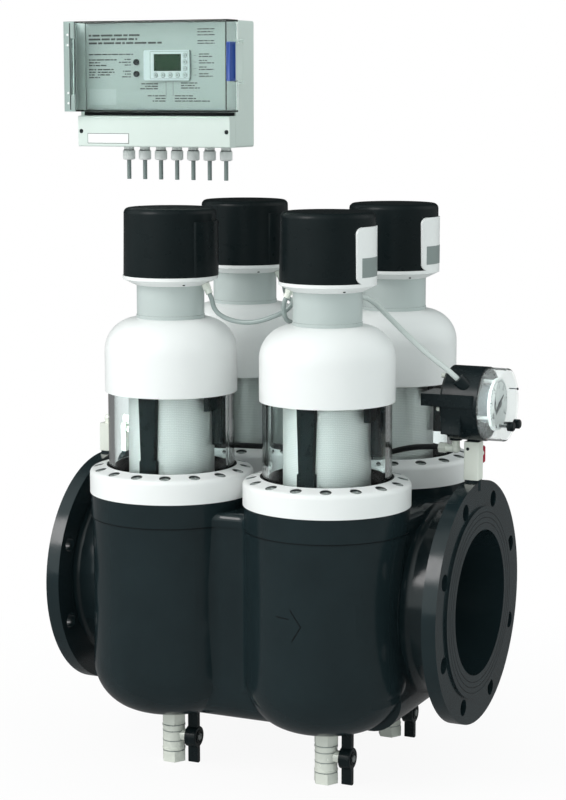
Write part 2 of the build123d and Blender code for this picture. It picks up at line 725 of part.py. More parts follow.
# Necks: grey tubes between bell and head, with a thicker foot
with BuildPart() as neck:
    with BuildSketch(Plane.XZ):
        with BuildLine():
            foot_top = BELL_TOP_Z + NECK_FOOT_HEIGHT
            Polyline(
                (NECK_RADIUS - NECK_WALL, BELL_TOP_Z),
                (NECK_RADIUS + NECK_FOOT_STEP, BELL_TOP_Z),
                (NECK_RADIUS + NECK_FOOT_STEP, foot_top),
                (NECK_RADIUS, foot_top + NECK_FOOT_STEP),
                (NECK_RADIUS, HEAD_BOTTOM_Z),
                (NECK_RADIUS - NECK_WALL, HEAD_BOTTOM_Z),
                (NECK_RADIUS - NECK_WALL, BELL_TOP_Z),
            )
        make_face()
    revolve(axis=Axis.Z)
keep_group(neck.part, "necks")

# Head bases: white dishes that carry gearmotor, cap and panel
with BuildPart() as head_base:
    with BuildSketch(Plane.XZ):
        with BuildLine():
            Polyline(
                (HEAD_BORE_RADIUS, HEAD_BOTTOM_Z),
                (HEAD_BASE_FOOT_RADIUS, HEAD_BOTTOM_Z),
                (HEAD_BASE_RADIUS, HEAD_RIM_Z - HEAD_BASE_RIM),
                (HEAD_BASE_RADIUS, HEAD_RIM_Z),
                (HEAD_BORE_RADIUS, HEAD_RIM_Z),
                (HEAD_BORE_RADIUS, HEAD_BOTTOM_Z),
            )
        make_face()
    revolve(axis=Axis.Z)
keep_group(head_base.part, "head_bases")

# Head caps: black hoods with a crowned top and a window for the panel
with BuildPart() as head_cap:
    with BuildSketch(Plane.XZ):
        with BuildLine():
            top_edge = HEAD_TOP_Z - CAP_CROWN
            Polyline(
                (CAP_RADIUS - CAP_WALL, HEAD_RIM_Z),
                (CAP_RADIUS, HEAD_RIM_Z),
                (CAP_TOP_RADIUS, top_edge),
            )
            ThreePointArc(
                (CAP_TOP_RADIUS, top_edge),
                (CAP_TOP_RADIUS / 2, HEAD_TOP_Z - CAP_CROWN / 4),
                (0, HEAD_TOP_Z),
            )
            Polyline(
                (0, HEAD_TOP_Z),
                (0, top_edge - CAP_WALL),
                (CAP_TOP_RADIUS - CAP_WALL, top_edge - CAP_WALL),
                (CAP_RADIUS - CAP_WALL, HEAD_RIM_Z),
            )
        make_face()
    revolve(axis=Axis.Z)
    rounds = head_cap.edges().filter_by(GeomType.CIRCLE).filter_by(lambda edge: edge.is_closed)
    fillet(rounds.sort_by(lambda edge: edge.arc_center.Z + edge.radius)[-1], CAP_ROUND)
    with BuildSketch(Plane.YZ):
        with Locations((0, (HEAD_RIM_Z + PANEL_TOP_Z) / 2)):
            window = Rectangle(2 * PANEL_HALF_WIDTH, PANEL_TOP_Z - HEAD_RIM_Z)
        fillet(window.vertices().group_by(Axis.Z)[-1], PANEL_CORNER)
    extrude(amount=CAP_RADIUS + PANEL_HALF_WIDTH, mode=Mode.SUBTRACT)
keep_group(head_cap.part, "head_caps")

# Head panels: white curved plates that close the windows
with BuildPart() as head_panel:
    with BuildSketch(Plane.XY.offset(HEAD_RIM_Z)):
        Circle(PANEL_RADIUS)
        Circle(PANEL_RADIUS - PANEL_THICKNESS, mode=Mode.SUBTRACT)
    extrude(amount=PANEL_TOP_Z - PANEL_GAP - HEAD_RIM_Z)
    with BuildSketch(Plane.YZ):
        with Locations((0, (HEAD_RIM_Z + PANEL_TOP_Z - PANEL_GAP) / 2)):
            plate = Rectangle(2 * (PANEL_HALF_WIDTH - PANEL_GAP), PANEL_TOP_Z - PANEL_GAP - HEAD_RIM_Z)
        fillet(plate.vertices().group_by(Axis.Z)[-1], PANEL_CORNER)
    extrude(amount=CAP_RADIUS + PANEL_HALF_WIDTH, mode=Mode.INTERSECT)
keep_group(head_panel.part, "head_panels")

# Gearmotors: gearbox, motor and output spigot inside each head
with BuildPart() as gearmotor:
    for radius, low, high in (
        (SPIGOT_RADIUS, HEAD_BOTTOM_Z, HEAD_RIM_Z),
        (GEARBOX_RADIUS, HEAD_RIM_Z, HEAD_RIM_Z + GEARBOX_HEIGHT),
        (MOTOR_RADIUS, HEAD_RIM_Z + GEARBOX_HEIGHT, MOTOR_TOP_Z),
    ):
        with BuildSketch(Plane.XY.offset(low)):
            Circle(radius)
        extrude(amount=high - low)
keep_group(gearmotor.part, "gearmotors")


def gland_plane(unit, angle):
    """Plane of a cable gland on the sloping underside of a head, pointing outwards and down."""
    slope = atan2(HEAD_RIM_Z - HEAD_BASE_RIM - HEAD_BOTTOM_Z, HEAD_BASE_RADIUS - HEAD_BASE_FOOT_RADIUS)
    seat_z = HEAD_BOTTOM_Z + (GLAND_CIRCLE - HEAD_BASE_FOOT_RADIUS) * tan(slope)
    turn = radians(angle)
    centre_x, centre_y = UNITS[unit]
    origin = (centre_x + GLAND_CIRCLE * cos(turn), centre_y + GLAND_CIRCLE * sin(turn), seat_z)
    outward = (sin(slope) * cos(turn), sin(slope) * sin(turn), -cos(slope))
    return Plane(origin=origin, z_dir=outward)


# Cable glands of the heads: nickel hexagons with a round cap nut, and a round one on one neck
GLAND_PLACES = (
    ("front_left", 0),
    ("front_right", 180),
    ("front_right", SECOND_GLAND_ANGLE),
    ("back_left", 0),
    ("back_right", 180),
    ("back_right", -SECOND_GLAND_ANGLE),
)
neck_gland = Plane(
    origin=(*UNITS["front_right"], NECK_GLAND_Z),
    z_dir=(cos(radians(NECK_GLAND_ANGLE)), sin(radians(NECK_GLAND_ANGLE)), 0),
)
with BuildPart() as head_glands:
    for unit, angle in GLAND_PLACES:
        seat = gland_plane(unit, angle).offset(SEAT_CLEARANCE)
        with BuildSketch(seat):
            RegularPolygon(GLAND_ACROSS_FLATS / 2, 6, major_radius=False)
        extrude(amount=GLAND_LENGTH / 2)
        with BuildSketch(seat.offset(GLAND_LENGTH / 2)):
            Circle(GLAND_CAP_RADIUS)
        extrude(amount=GLAND_LENGTH / 2 - SEAT_CLEARANCE)
    with BuildSketch(neck_gland):
        Circle(NECK_GLAND_RADIUS)
    extrude(amount=NECK_RADIUS + NECK_GLAND_LENGTH)
    with BuildSketch(Plane.XY.offset(HEAD_BOTTOM_Z)):
        with Locations(UNITS["front_right"]):
            Circle(NECK_RADIUS + SEAT_CLEARANCE)
    extrude(amount=BELL_TOP_Z - HEAD_BOTTOM_Z, mode=Mode.SUBTRACT)
keep(head_glands.part, "head_glands")

# Suction tubes: a flat black channel in front of the sieve, and its pipe down to the drain
with BuildPart() as suction_tube:
    with BuildSketch(Plane.XZ.offset(SIEVE_RADIUS + SUCTION_GAP)):
        with BuildLine():
            Polyline(
                (SUCTION_FOOT_WIDTH / 2, DECK_TOP_Z),
                (SUCTION_FOOT_WIDTH / 2, SUCTION_WAIST_Z - SUCTION_GAP),
                (SUCTION_WAIST_WIDTH / 2, SUCTION_WAIST_Z),
                (SUCTION_TOP_WIDTH / 2, SUCTION_TOP_Z),
                (0, SUCTION_TOP_Z),
                (0, DECK_TOP_Z),
                (SUCTION_FOOT_WIDTH / 2, DECK_TOP_Z),
            )
        make_face()
        mirror(about=Plane.YZ)
    extrude(amount=SUCTION_DEPTH)
    with BuildLine() as drop:
        FilletPolyline(
            (0, SUCTION_Y, DECK_TOP_Z),
            (0, SUCTION_Y, SUCTION_BEND_Z),
            (0, 0, SUCTION_BEND_Z + SUCTION_Y / 3),
            (0, 0, SUCTION_END_Z),
            radius=SUCTION_BEND_RADIUS,
        )
    with BuildSketch(Plane.XY.offset(DECK_TOP_Z)):
        with Locations((0, SUCTION_Y)):
            Circle(SUCTION_TUBE_RADIUS)
    sweep(path=drop.line)
    with BuildSketch(Plane.XY.offset(SUCTION_END_Z)):
        Circle(DRAIN_BORE_RADIUS - SEAT_CLEARANCE)
    extrude(amount=SUCTION_COLLAR)
keep_group(suction_tube.part, "suction_tubes")

# Sieves: stainless baskets that turn in the deck's seat
with BuildPart() as sieve:
    with BuildSketch(Plane.XZ):
        with BuildLine():
            ring_foot = DECK_TOP_Z + SEAT_CLEARANCE
            ring_top = ring_foot + SIEVE_RING_HEIGHT
            cap_low = SIEVE_TOP_Z - SIEVE_RING_HEIGHT
            Polyline(
                (SIEVE_BORE_RADIUS, DECK_BOTTOM_Z),
                (SEAT_BORE_RADIUS - RUNNING_CLEARANCE, DECK_BOTTOM_Z),
                (SEAT_BORE_RADIUS - RUNNING_CLEARANCE, ring_foot),
                (SIEVE_RADIUS, ring_foot),
                (SIEVE_RADIUS, SIEVE_TOP_Z),
                (0, SIEVE_TOP_Z),
                (0, cap_low),
                (SIEVE_RADIUS - SIEVE_WALL, cap_low),
                (SIEVE_RADIUS - SIEVE_WALL, ring_top),
                (SIEVE_BORE_RADIUS, ring_top),
                (SIEVE_BORE_RADIUS, DECK_BOTTOM_Z),
            )
        make_face()
    revolve(axis=Axis.Z)
keep_each(sieve.part, "sieve")

# Drive shafts: from the gearmotor through the bell's bearing to the sieve
with BuildPart() as drive_shaft:
    with BuildSketch(Plane.XY.offset(SIEVE_TOP_Z)):
        Circle(SHAFT_FLANGE_RADIUS)
    extrude(amount=SHAFT_FLANGE_HEIGHT)
    with BuildSketch(Plane.XY.offset(SIEVE_TOP_Z + SHAFT_FLANGE_HEIGHT)):
        Circle(SHAFT_RADIUS)
    extrude(amount=SHAFT_TOP_Z - SIEVE_TOP_Z - SHAFT_FLANGE_HEIGHT)
keep_each(drive_shaft.part, "drive_shaft")

# Drain valve bodies: hexagons at both ends, a beaded barrel and the stem's gland
with BuildPart() as drain_valve:
    hex_foot_z = DRAIN_BOSS_Z - VALVE_TOP_HEX
    outlet_top_z = VALVE_OUTLET_Z + VALVE_OUTLET_HEX
    with BuildSketch(Plane.XY.offset(DRAIN_BOSS_Z)):
        Circle(DRAIN_BORE_RADIUS - SEAT_CLEARANCE)
    extrude(amount=VALVE_NIPPLE)
    with BuildSketch(Plane.XY.offset(hex_foot_z)):
        RegularPolygon(VALVE_HEX_ACROSS / 2, 6, major_radius=False)
    extrude(amount=VALVE_TOP_HEX)
    with BuildSketch(Plane.XY.offset(VALVE_OUTLET_Z)):
        RegularPolygon(VALVE_HEX_ACROSS / 2, 6, major_radius=False)
    extrude(amount=VALVE_OUTLET_HEX)
    with BuildSketch(Plane.XY.offset(outlet_top_z)):
        Circle(VALVE_BODY_RADIUS)
    extrude(amount=hex_foot_z - outlet_top_z)
    for bead_z in (hex_foot_z - 2 * VALVE_BEAD_HEIGHT, outlet_top_z + VALVE_BEAD_HEIGHT):
        with BuildSketch(Plane.XY.offset(bead_z)):
            Circle(VALVE_BODY_RADIUS + VALVE_BEAD)
        extrude(amount=VALVE_BEAD_HEIGHT)
    with BuildSketch(Plane.YZ):
        with Locations((0, VALVE_STEM_Z)):
            Circle(VALVE_GLAND_RADIUS)
    extrude(amount=VALVE_GLAND_END)
    with BuildSketch(Plane.XY.offset(VALVE_OUTLET_Z)):
        Circle(VALVE_THREAD_RADIUS)
    extrude(amount=VALVE_OUTLET_HEX, mode=Mode.SUBTRACT)
    with BuildSketch(Plane.XY.offset(VALVE_OUTLET_Z)):
        Circle(VALVE_PORT_RADIUS)
    extrude(amount=DRAIN_BOSS_Z + VALVE_NIPPLE - VALVE_OUTLET_Z, mode=Mode.SUBTRACT)
    with Locations((0, 0, VALVE_STEM_Z)):
        Sphere(BALL_RADIUS + RUNNING_CLEARANCE, mode=Mode.SUBTRACT)
    with BuildSketch(Plane.YZ):
        with Locations((0, VALVE_STEM_Z)):
            Circle(STEM_RADIUS + RUNNING_CLEARANCE)
    extrude(amount=VALVE_GLAND_END, mode=Mode.SUBTRACT)
keep_group(drain_valve.part, "drain_valve_bodies")

# Drain balls: bored through, each on its own stem
with BuildPart() as drain_ball:
    with Locations((0, 0, VALVE_STEM_Z)):
        Sphere(BALL_RADIUS)
    with BuildSketch(Plane.YZ):
        with Locations((0, VALVE_STEM_Z)):
            Circle(STEM_RADIUS)
    extrude(amount=HANDLE_START + HANDLE_DEPTH / 2)
    with BuildSketch(Plane.XY.offset(VALVE_STEM_Z - BALL_RADIUS)):
        Circle(VALVE_PORT_RADIUS)
    extrude(amount=2 * BALL_RADIUS, mode=Mode.SUBTRACT)
keep_each(drain_ball.part, "drain_ball")

# Drain handles: black T handles with a round hub and two flat wings
with BuildPart() as drain_handle:
    with BuildSketch(Plane.YZ.offset(HANDLE_START)):
        with Locations((0, VALVE_STEM_Z)):
            Circle(HANDLE_HUB_RADIUS)
    extrude(amount=HANDLE_DEPTH)
    fillet(drain_handle.edges().filter_by(GeomType.CIRCLE).group_by(Axis.X)[-1], HANDLE_EDGE)
    with BuildSketch(Plane.YZ.offset(HANDLE_START + HANDLE_EDGE / 2)):
        with Locations((0, VALVE_STEM_Z)):
            wing = Rectangle(HANDLE_THICKNESS, 2 * HANDLE_HALF_LENGTH)
        fillet(wing.vertices(), HANDLE_WING_ROUND)
    extrude(amount=HANDLE_DEPTH - HANDLE_EDGE)
    with BuildSketch(Plane.YZ.offset(HANDLE_START)):
        with Locations((0, VALVE_STEM_Z)):
            Circle(STEM_RADIUS + SEAT_CLEARANCE)
    extrude(amount=HANDLE_DEPTH / 2 + SEAT_CLEARANCE, mode=Mode.SUBTRACT)
keep_each(drain_handle.part, "drain_handle")

# Measuring taps: square columns screwed into both flange rims, one stem along X and one along Y
TAPS = (
    (INLET_TAP_X, INLET_TAP_TOP_Z, Plane.YZ.offset(INLET_TAP_X), (0, TAP_STEM_Z), 1),
    (OUTLET_TAP_X, OUTLET_TAP_TOP_Z, Plane.XZ, (OUTLET_TAP_X, TAP_STEM_Z), -1),
)
with BuildPart() as tap_bodies:
    for tap_x, top_z, stem_plane, stem_place, side in TAPS:
        reach = side * (TAP_ACROSS / 2 + TAP_NECK_LENGTH)
        with BuildSketch(Plane.XY.offset(TAP_BOSS_TOP_Z - TAP_THREAD_DEPTH)):
            with Locations((tap_x, 0)):
                Circle(TAP_THREAD_RADIUS)
        extrude(amount=TAP_THREAD_DEPTH)
        with BuildSketch(Plane.XY.offset(TAP_BOSS_TOP_Z)):
            with Locations((tap_x, 0)):
                column = Rectangle(TAP_ACROSS, TAP_ACROSS)
            fillet(column.vertices(), TAP_EDGE)
        extrude(amount=top_z - TAP_BOSS_TOP_Z)
        with BuildSketch(stem_plane):
            with Locations(stem_place):
                Circle(TAP_NECK_RADIUS)
        extrude(amount=reach)
        with BuildSketch(Plane.XY.offset(TAP_BOSS_TOP_Z - TAP_THREAD_DEPTH)):
            with Locations((tap_x, 0)):
                Circle(TAP_PORT_RADIUS)
        extrude(amount=top_z - TAP_BOSS_TOP_Z + TAP_THREAD_DEPTH, mode=Mode.SUBTRACT)
        with BuildSketch(stem_plane):
            with Locations(stem_place):
                Circle(TAP_STEM_RADIUS + RUNNING_CLEARANCE)
        extrude(amount=reach, mode=Mode.SUBTRACT)
        with Locations((tap_x, 0, TAP_STEM_Z)):
            Sphere(TAP_BALL_RADIUS + RUNNING_CLEARANCE, mode=Mode.SUBTRACT)
keep(tap_bodies.part, "tap_bodies")

# Tap levers: each a flat red lever on a stem with a bored ball
for tap, (tap_x, top_z, stem_plane, stem_place, side) in zip(("inlet", "outlet"), TAPS):
    reach = side * (TAP_ACROSS / 2 + TAP_NECK_LENGTH + SEAT_CLEARANCE)
    with BuildPart() as tap_lever:
        with Locations((tap_x, 0, TAP_STEM_Z)):
            Sphere(TAP_BALL_RADIUS)
        with BuildSketch(stem_plane):
            with Locations(stem_place):
                Circle(TAP_STEM_RADIUS)
        extrude(amount=reach)
        with BuildSketch(stem_plane.offset(reach)):
            with Locations((stem_place[0], stem_place[1] + (LEVER_UP - LEVER_DOWN) / 2)):
                lever = Rectangle(LEVER_WIDTH, LEVER_UP + LEVER_DOWN)
            fillet(lever.vertices(), LEVER_ROUND)
        extrude(amount=side * LEVER_THICKNESS)
        with BuildSketch(Plane.XY.offset(TAP_STEM_Z - TAP_BALL_RADIUS)):
            with Locations((tap_x, 0)):
                Circle(TAP_PORT_RADIUS)
        extrude(amount=2 * TAP_BALL_RADIUS, mode=Mode.SUBTRACT)
    keep(tap_lever.part, f"{tap}_tap_lever")

# Gauge body: black drum with a side block, a foot on the tap and a slanting cable gland
gauge_gland = Plane(
    origin=(
        GAUGE_GLAND_X,
        GAUGE_RADIUS * cos(radians(GAUGE_GLAND_ANGLE)),
        GAUGE_Z + GAUGE_RADIUS * sin(radians(GAUGE_GLAND_ANGLE)),
    ),
    z_dir=GAUGE_GLAND_DIRECTION,
)
with BuildPart() as gauge_body:
    with BuildSketch(Plane.YZ.offset(GAUGE_BACK_X)):
        with Locations((0, GAUGE_Z)):
            Circle(GAUGE_RADIUS)
    extrude(amount=GAUGE_FRONT_X - GAUGE_BACK_X)
    chamfer(gauge_body.edges().filter_by(GeomType.CIRCLE).group_by(Axis.X)[0], GAUGE_CHAMFER)
    with BuildSketch(Plane.XY.offset(GAUGE_Z)):
        with BuildLine():
            block_back = GAUGE_BACK_X - GAUGE_LUG_LENGTH
            block_end = GAUGE_FRONT_X - GAUGE_CHAMFER
            outer_y = -(GAUGE_RADIUS + GAUGE_RIB_DEPTH)
            FilletPolyline(
                (block_back, 0),
                (block_back, outer_y),
                (block_end, outer_y),
                (block_end, 0),
                (block_back, 0),
                radius=GAUGE_CHAMFER,
                close=False,
            )
        make_face()
    extrude(amount=GAUGE_LUG_WIDTH)
    with BuildSketch(Plane.XY.offset(OUTLET_TAP_TOP_Z)):
        with Locations((OUTLET_TAP_X, 0), (OUTLET_ELBOW_X, 0)):
            Circle(GAUGE_FOOT_RADIUS)
    extrude(amount=GAUGE_Z - GAUGE_RADIUS - OUTLET_TAP_TOP_Z + GAUGE_FOOT_RADIUS)
    with BuildSketch(gauge_gland.offset(-GAUGE_GLAND_LENGTH / 2)):
        Circle(GAUGE_GLAND_RADIUS)
    extrude(amount=GAUGE_GLAND_LENGTH)
    with BuildSketch(gauge_gland.offset(GAUGE_GLAND_LENGTH / 2)):
        Circle(GAUGE_CABLE_RADIUS + SEAT_CLEARANCE)
    extrude(amount=-GAUGE_GLAND_RADIUS, mode=Mode.SUBTRACT)
    with BuildSketch(Plane.YZ.offset(GAUGE_FRONT_X)):
        with Locations((0, GAUGE_Z)):
            Circle(GAUGE_RADIUS - GAUGE_CHAMFER)
    extrude(amount=-GAUGE_RECESS, mode=Mode.SUBTRACT)
keep(gauge_body.part, "gauge_body")

# Gauge window: clear cup with two holes for the set knobs
with BuildPart() as gauge_window:
    with BuildSketch(Plane.YZ.offset(GAUGE_FRONT_X)):
        with Locations((0, GAUGE_Z)):
            Circle(GAUGE_WINDOW_RADIUS)
    extrude(amount=GAUGE_WINDOW_X - GAUGE_FRONT_X)
    fillet(gauge_window.edges().filter_by(GeomType.CIRCLE).group_by(Axis.X)[-1], GAUGE_WINDOW_WALL)
    with BuildSketch(Plane.YZ.offset(GAUGE_FRONT_X)):
        with Locations((0, GAUGE_Z)):
            Circle(GAUGE_WINDOW_RADIUS - GAUGE_WINDOW_WALL)
    extrude(amount=GAUGE_WINDOW_X - GAUGE_FRONT_X - GAUGE_WINDOW_WALL, mode=Mode.SUBTRACT)
    with BuildSketch(Plane.YZ.offset(GAUGE_FRONT_X)):
        with Locations(*[(knob_y, GAUGE_Z - KNOB_DROP) for knob_y in KNOB_PLACES]):
            Circle(KNOB_STEM_RADIUS + RUNNING_CLEARANCE)
    extrude(amount=GAUGE_WINDOW_X - GAUGE_FRONT_X, mode=Mode.SUBTRACT)
keep(gauge_window.part, "gauge_window")

# Gauge dial: disc on three posts, bored for the pointer's spindle and cleared for a knob's stem
with BuildPart() as gauge_dial:
    with BuildSketch(Plane.YZ.offset(DIAL_X)):
        with Locations((0, GAUGE_Z)):
            Circle(DIAL_RADIUS)
    extrude(amount=DIAL_THICKNESS)
    with BuildSketch(Plane.YZ.offset(GAUGE_FRONT_X - GAUGE_RECESS)):
        with Locations((0, GAUGE_Z)):
            post_circle = DIAL_RADIUS - 2 * DIAL_POST_RADIUS
            with PolarLocations(post_circle, DIAL_POST_COUNT, start_angle=DIAL_POST_ANGLE):
                Circle(DIAL_POST_RADIUS)
    extrude(amount=DIAL_X - GAUGE_FRONT_X + GAUGE_RECESS)
    with BuildSketch(Plane.YZ.offset(DIAL_X)):
        with Locations((0, GAUGE_Z)):
            Circle(POINTER_PIN_RADIUS + RUNNING_CLEARANCE)
        with Locations(*[(knob_y, GAUGE_Z - KNOB_DROP) for knob_y in KNOB_PLACES]):
            Circle(KNOB_STEM_RADIUS + DIAL_HOLE_GAP)
    extrude(amount=DIAL_THICKNESS, mode=Mode.SUBTRACT)
keep(gauge_dial.part, "gauge_dial")

# Gauge pointer: tapered hand, hub and spindle
with BuildPart() as gauge_pointer:
    hub_x = DIAL_X + DIAL_THICKNESS + SEAT_CLEARANCE
    hand_length = POINTER_LENGTH + 2 * POINTER_HUB_RADIUS
    hand_taper = degrees(atan2(hand_length, POINTER_HUB_RADIUS - POINTER_TIP_WIDTH / 2))
    with BuildSketch(Plane.YZ.offset(DIAL_X)):
        with Locations((0, GAUGE_Z)):
            Circle(POINTER_PIN_RADIUS)
    extrude(amount=hub_x - DIAL_X)
    with BuildSketch(Plane.YZ.offset(hub_x)):
        with Locations((0, GAUGE_Z)):
            Circle(POINTER_HUB_RADIUS)
    extrude(amount=2 * POINTER_THICKNESS)
    with BuildSketch(Plane.YZ.offset(hub_x + POINTER_THICKNESS / 2)):
        with Locations(Location((0, GAUGE_Z), POINTER_ANGLE)):
            with Locations((POINTER_LENGTH / 2 - POINTER_HUB_RADIUS, 0)):
                Trapezoid(2 * POINTER_HUB_RADIUS, hand_length, hand_taper, rotation=-90)
    extrude(amount=POINTER_THICKNESS)
keep(gauge_pointer.part, "gauge_pointer")

# Gauge knobs: black set knobs on stems that pass through the window
for number, knob_y in enumerate(KNOB_PLACES, start=1):
    with BuildPart() as gauge_knob:
        with BuildSketch(Plane.YZ.offset(GAUGE_FRONT_X - GAUGE_RECESS + SEAT_CLEARANCE)):
            with Locations((knob_y, GAUGE_Z - KNOB_DROP)):
                Circle(KNOB_STEM_RADIUS)
        extrude(amount=GAUGE_WINDOW_X - GAUGE_FRONT_X + GAUGE_RECESS)
        with BuildSketch(Plane.YZ.offset(GAUGE_WINDOW_X + SEAT_CLEARANCE)):
            with Locations((knob_y, GAUGE_Z - KNOB_DROP)):
                Circle(KNOB_RADIUS)
        extrude(amount=KNOB_LENGTH)
        chamfer(gauge_knob.edges().filter_by(GeomType.CIRCLE).group_by(Axis.X)[-1], KNOB_CHAMFER)
    keep(gauge_knob.part, f"gauge_knob_{number}")

# Hose fittings: a nickel elbow on the inlet tap and one under the gauge
ELBOWS = (
    (INLET_TAP_X, INLET_TAP_TOP_Z, INLET_ELBOW_Z, ELBOW_REACH),
    (OUTLET_ELBOW_X, OUTLET_TAP_TOP_Z, OUTLET_ELBOW_Z, -ELBOW_REACH),
)
with BuildPart() as hose_fittings:
    for elbow_x, seat_z, axis_z, elbow_reach in ELBOWS:
        nut_length = ELBOW_NUT_LENGTH if elbow_reach > 0 else -ELBOW_NUT_LENGTH
        with BuildSketch(Plane.XY.offset(seat_z)):
            with Locations((elbow_x, 0)):
                Circle(ELBOW_RADIUS - ELBOW_STEP)
        extrude(amount=axis_z - seat_z)
        with Locations((elbow_x, 0, axis_z)):
            Sphere(ELBOW_RADIUS)
        with BuildSketch(Plane.YZ.offset(elbow_x)):
            with Locations((0, axis_z)):
                Circle(ELBOW_RADIUS - ELBOW_STEP)
        extrude(amount=elbow_reach)
        with BuildSketch(Plane.YZ.offset(elbow_x + elbow_reach - nut_length)):
            with Locations((0, axis_z)):
                RegularPolygon(ELBOW_NUT_ACROSS / 2, 6, major_radius=False)
        extrude(amount=nut_length)
keep(hose_fittings.part, "hose_fittings")

# Impulse hose from the inlet tap to the gauge, between the rows of filter units
keep_cord(
    [
        (INLET_TAP_X + ELBOW_REACH + SEAT_CLEARANCE, 0, INLET_ELBOW_Z),
        (62, 0, 220),
        (95, 1, 209),
        (140, 1.5, 198),
        (195, 0, 194),
        (250, -1.5, 195.5),
        (305, -0.5, 197.5),
        (360, 1, 196.5),
        (415, 1.5, 195.5),
        (455, 1, 199),
        (485, 0, 208.5),
        (512, 0, 213.5),
        (OUTLET_ELBOW_X - ELBOW_REACH - SEAT_CLEARANCE, 0, OUTLET_ELBOW_Z),
    ],
    HOSE_RADIUS,
    "hose",
)

# Head cables: they hang in a bow from gland to gland
FRONT_CABLE = [
    (241.73, -119, 425.73),
    (245.2, -119, 418.6),
    (246.7, -118.6, 409.6),
    (250.2, -118, 402.9),
    (255.8, -117.3, 397.5),
    (266, -116.4, 392.2),
    (283, -115.4, 388.2),
    (303, -114, 388),
    (320, -112, 391.8),
    (335, -108, 397.7),
    (346.5, -102, 403.2),
    (353.9, -98.6, 410.2),
    (358.2, -97.1, 417.65),
    (361.93, -98.45, 425.73),
]
keep_cord(FRONT_CABLE, HEAD_CABLE_RADIUS, "front_cable")
keep_cord([(x, -y, z) for x, y, z in FRONT_CABLE], HEAD_CABLE_RADIUS, "back_cable")
keep_cord(
    [
        (358.27, -119, 425.73),
        (354.7, -119, 418.5),
        (353.5, -118.2, 410.7),
        (352.9, -115.2, 403.3),
        (352.3, -110.2, 397.1),
        (351.8, -102.7, 392.1),
        (351, -83.8, 387),
        (350.5, -54, 379.5),
        (350.2, -20, 374.5),
        (350.2, 20, 374.5),
        (350.5, 54, 379.5),
        (351, 83.8, 387),
        (351.8, 102.7, 392.1),
        (352.3, 110.2, 397.1),
        (352.9, 115.2, 403.3),
        (353.5, 118.2, 410.7),
        (354.7, 119, 418.5),
        (358.27, 119, 425.73),
    ],
    HEAD_CABLE_RADIUS,
    "cross_cable",
)

# Gauge cable: from the front right neck straight down to the gauge's gland
neck_exit = neck_gland.offset(NECK_RADIUS + NECK_GLAND_LENGTH + SEAT_CLEARANCE).origin
gauge_exit = gauge_gland.offset(GAUGE_GLAND_LENGTH / 2 + SEAT_CLEARANCE).origin
keep_cord(
    [
        tuple(neck_exit),
        (440.6, -59.9, 425),
        (445.6, -52.9, 423.1),
        (452, -47.8, 419.4),
        (459.6, -45.3, 413.8),
        (473, -46.3, 402.4),
        (497, -48.8, 382),
        (524, -50.2, 359.6),
        (545, -49.9, 343.9),
        (563.5, -47.9, 330.7),
        (572.2, -45.5, 322.8),
        tuple(gauge_exit),
    ],
    GAUGE_CABLE_RADIUS,
    "gauge_cable",
)

# Control box: hollow case with an open terminal bay, wall holes and ears for the latch
box_middle = ((BOX_LEFT + BOX_RIGHT) / 2, (BOX_BOTTOM_Z + BOX_TOP_Z) / 2)
box_size = (BOX_RIGHT - BOX_LEFT, BOX_TOP_Z - BOX_BOTTOM_Z)
bay_height = TERMINAL_TOP_Z - BOX_BOTTOM_Z
ear_low_z = LATCH_Z - LATCH_HEIGHT / 2 - SEAT_CLEARANCE - LATCH_EAR
ear_high_z = LATCH_Z + LATCH_HEIGHT / 2 + SEAT_CLEARANCE
with BuildPart() as control_box:
    with BuildSketch(Plane.XZ.offset(-BOX_BACK_Y)):
        with Locations(box_middle):
            outline = Rectangle(*box_size)
        fillet(outline.vertices(), BOX_ROUND)
    extrude(amount=BOX_BACK_Y - BOX_FRONT_Y)
    with BuildSketch(Plane.XZ.offset(BOX_WALL - BOX_BACK_Y)):
        with Locations(box_middle):
            Rectangle(box_size[0] - 2 * BOX_WALL, box_size[1] - 2 * BOX_WALL)
    extrude(amount=BOX_BACK_Y - BOX_FRONT_Y - 2 * BOX_WALL, mode=Mode.SUBTRACT)
    with BuildSketch(Plane.XZ.offset(-BOX_FRONT_Y)):
        with Locations(((TERMINAL_LEFT + BOX_RIGHT) / 2, BOX_BOTTOM_Z + bay_height / 2)):
            Rectangle(BOX_RIGHT - TERMINAL_LEFT - 4 * TERMINAL_POST_RADIUS, bay_height - 2 * BOX_WALL)
    extrude(amount=-BOX_WALL, mode=Mode.SUBTRACT)
    with BuildSketch(Plane.XZ.offset(-BOX_BACK_Y)):
        with Locations(box_middle):
            with GridLocations(BOX_FIXING_X, BOX_FIXING_Z, 2, 2):
                Circle(BOX_FIXING_RADIUS)
    extrude(amount=BOX_WALL, mode=Mode.SUBTRACT)
    for ear_z in (ear_low_z, ear_high_z):
        with BuildSketch(Plane.XY.offset(ear_z)):
            with Locations((LATCH_X, LATCH_Y)):
                Circle(LATCH_BARREL_RADIUS)
            with Locations(((BOX_RIGHT + LATCH_X) / 2, LATCH_Y)):
                Rectangle(LATCH_X - BOX_RIGHT, 2 * LATCH_BARREL_RADIUS)
        extrude(amount=LATCH_EAR)
    with BuildSketch(Plane.XY.offset(ear_low_z)):
        with Locations((LATCH_X, LATCH_Y)):
            Circle(LATCH_PIN_RADIUS)
    extrude(amount=ear_high_z - ear_low_z)
keep(control_box.part, "control_box")

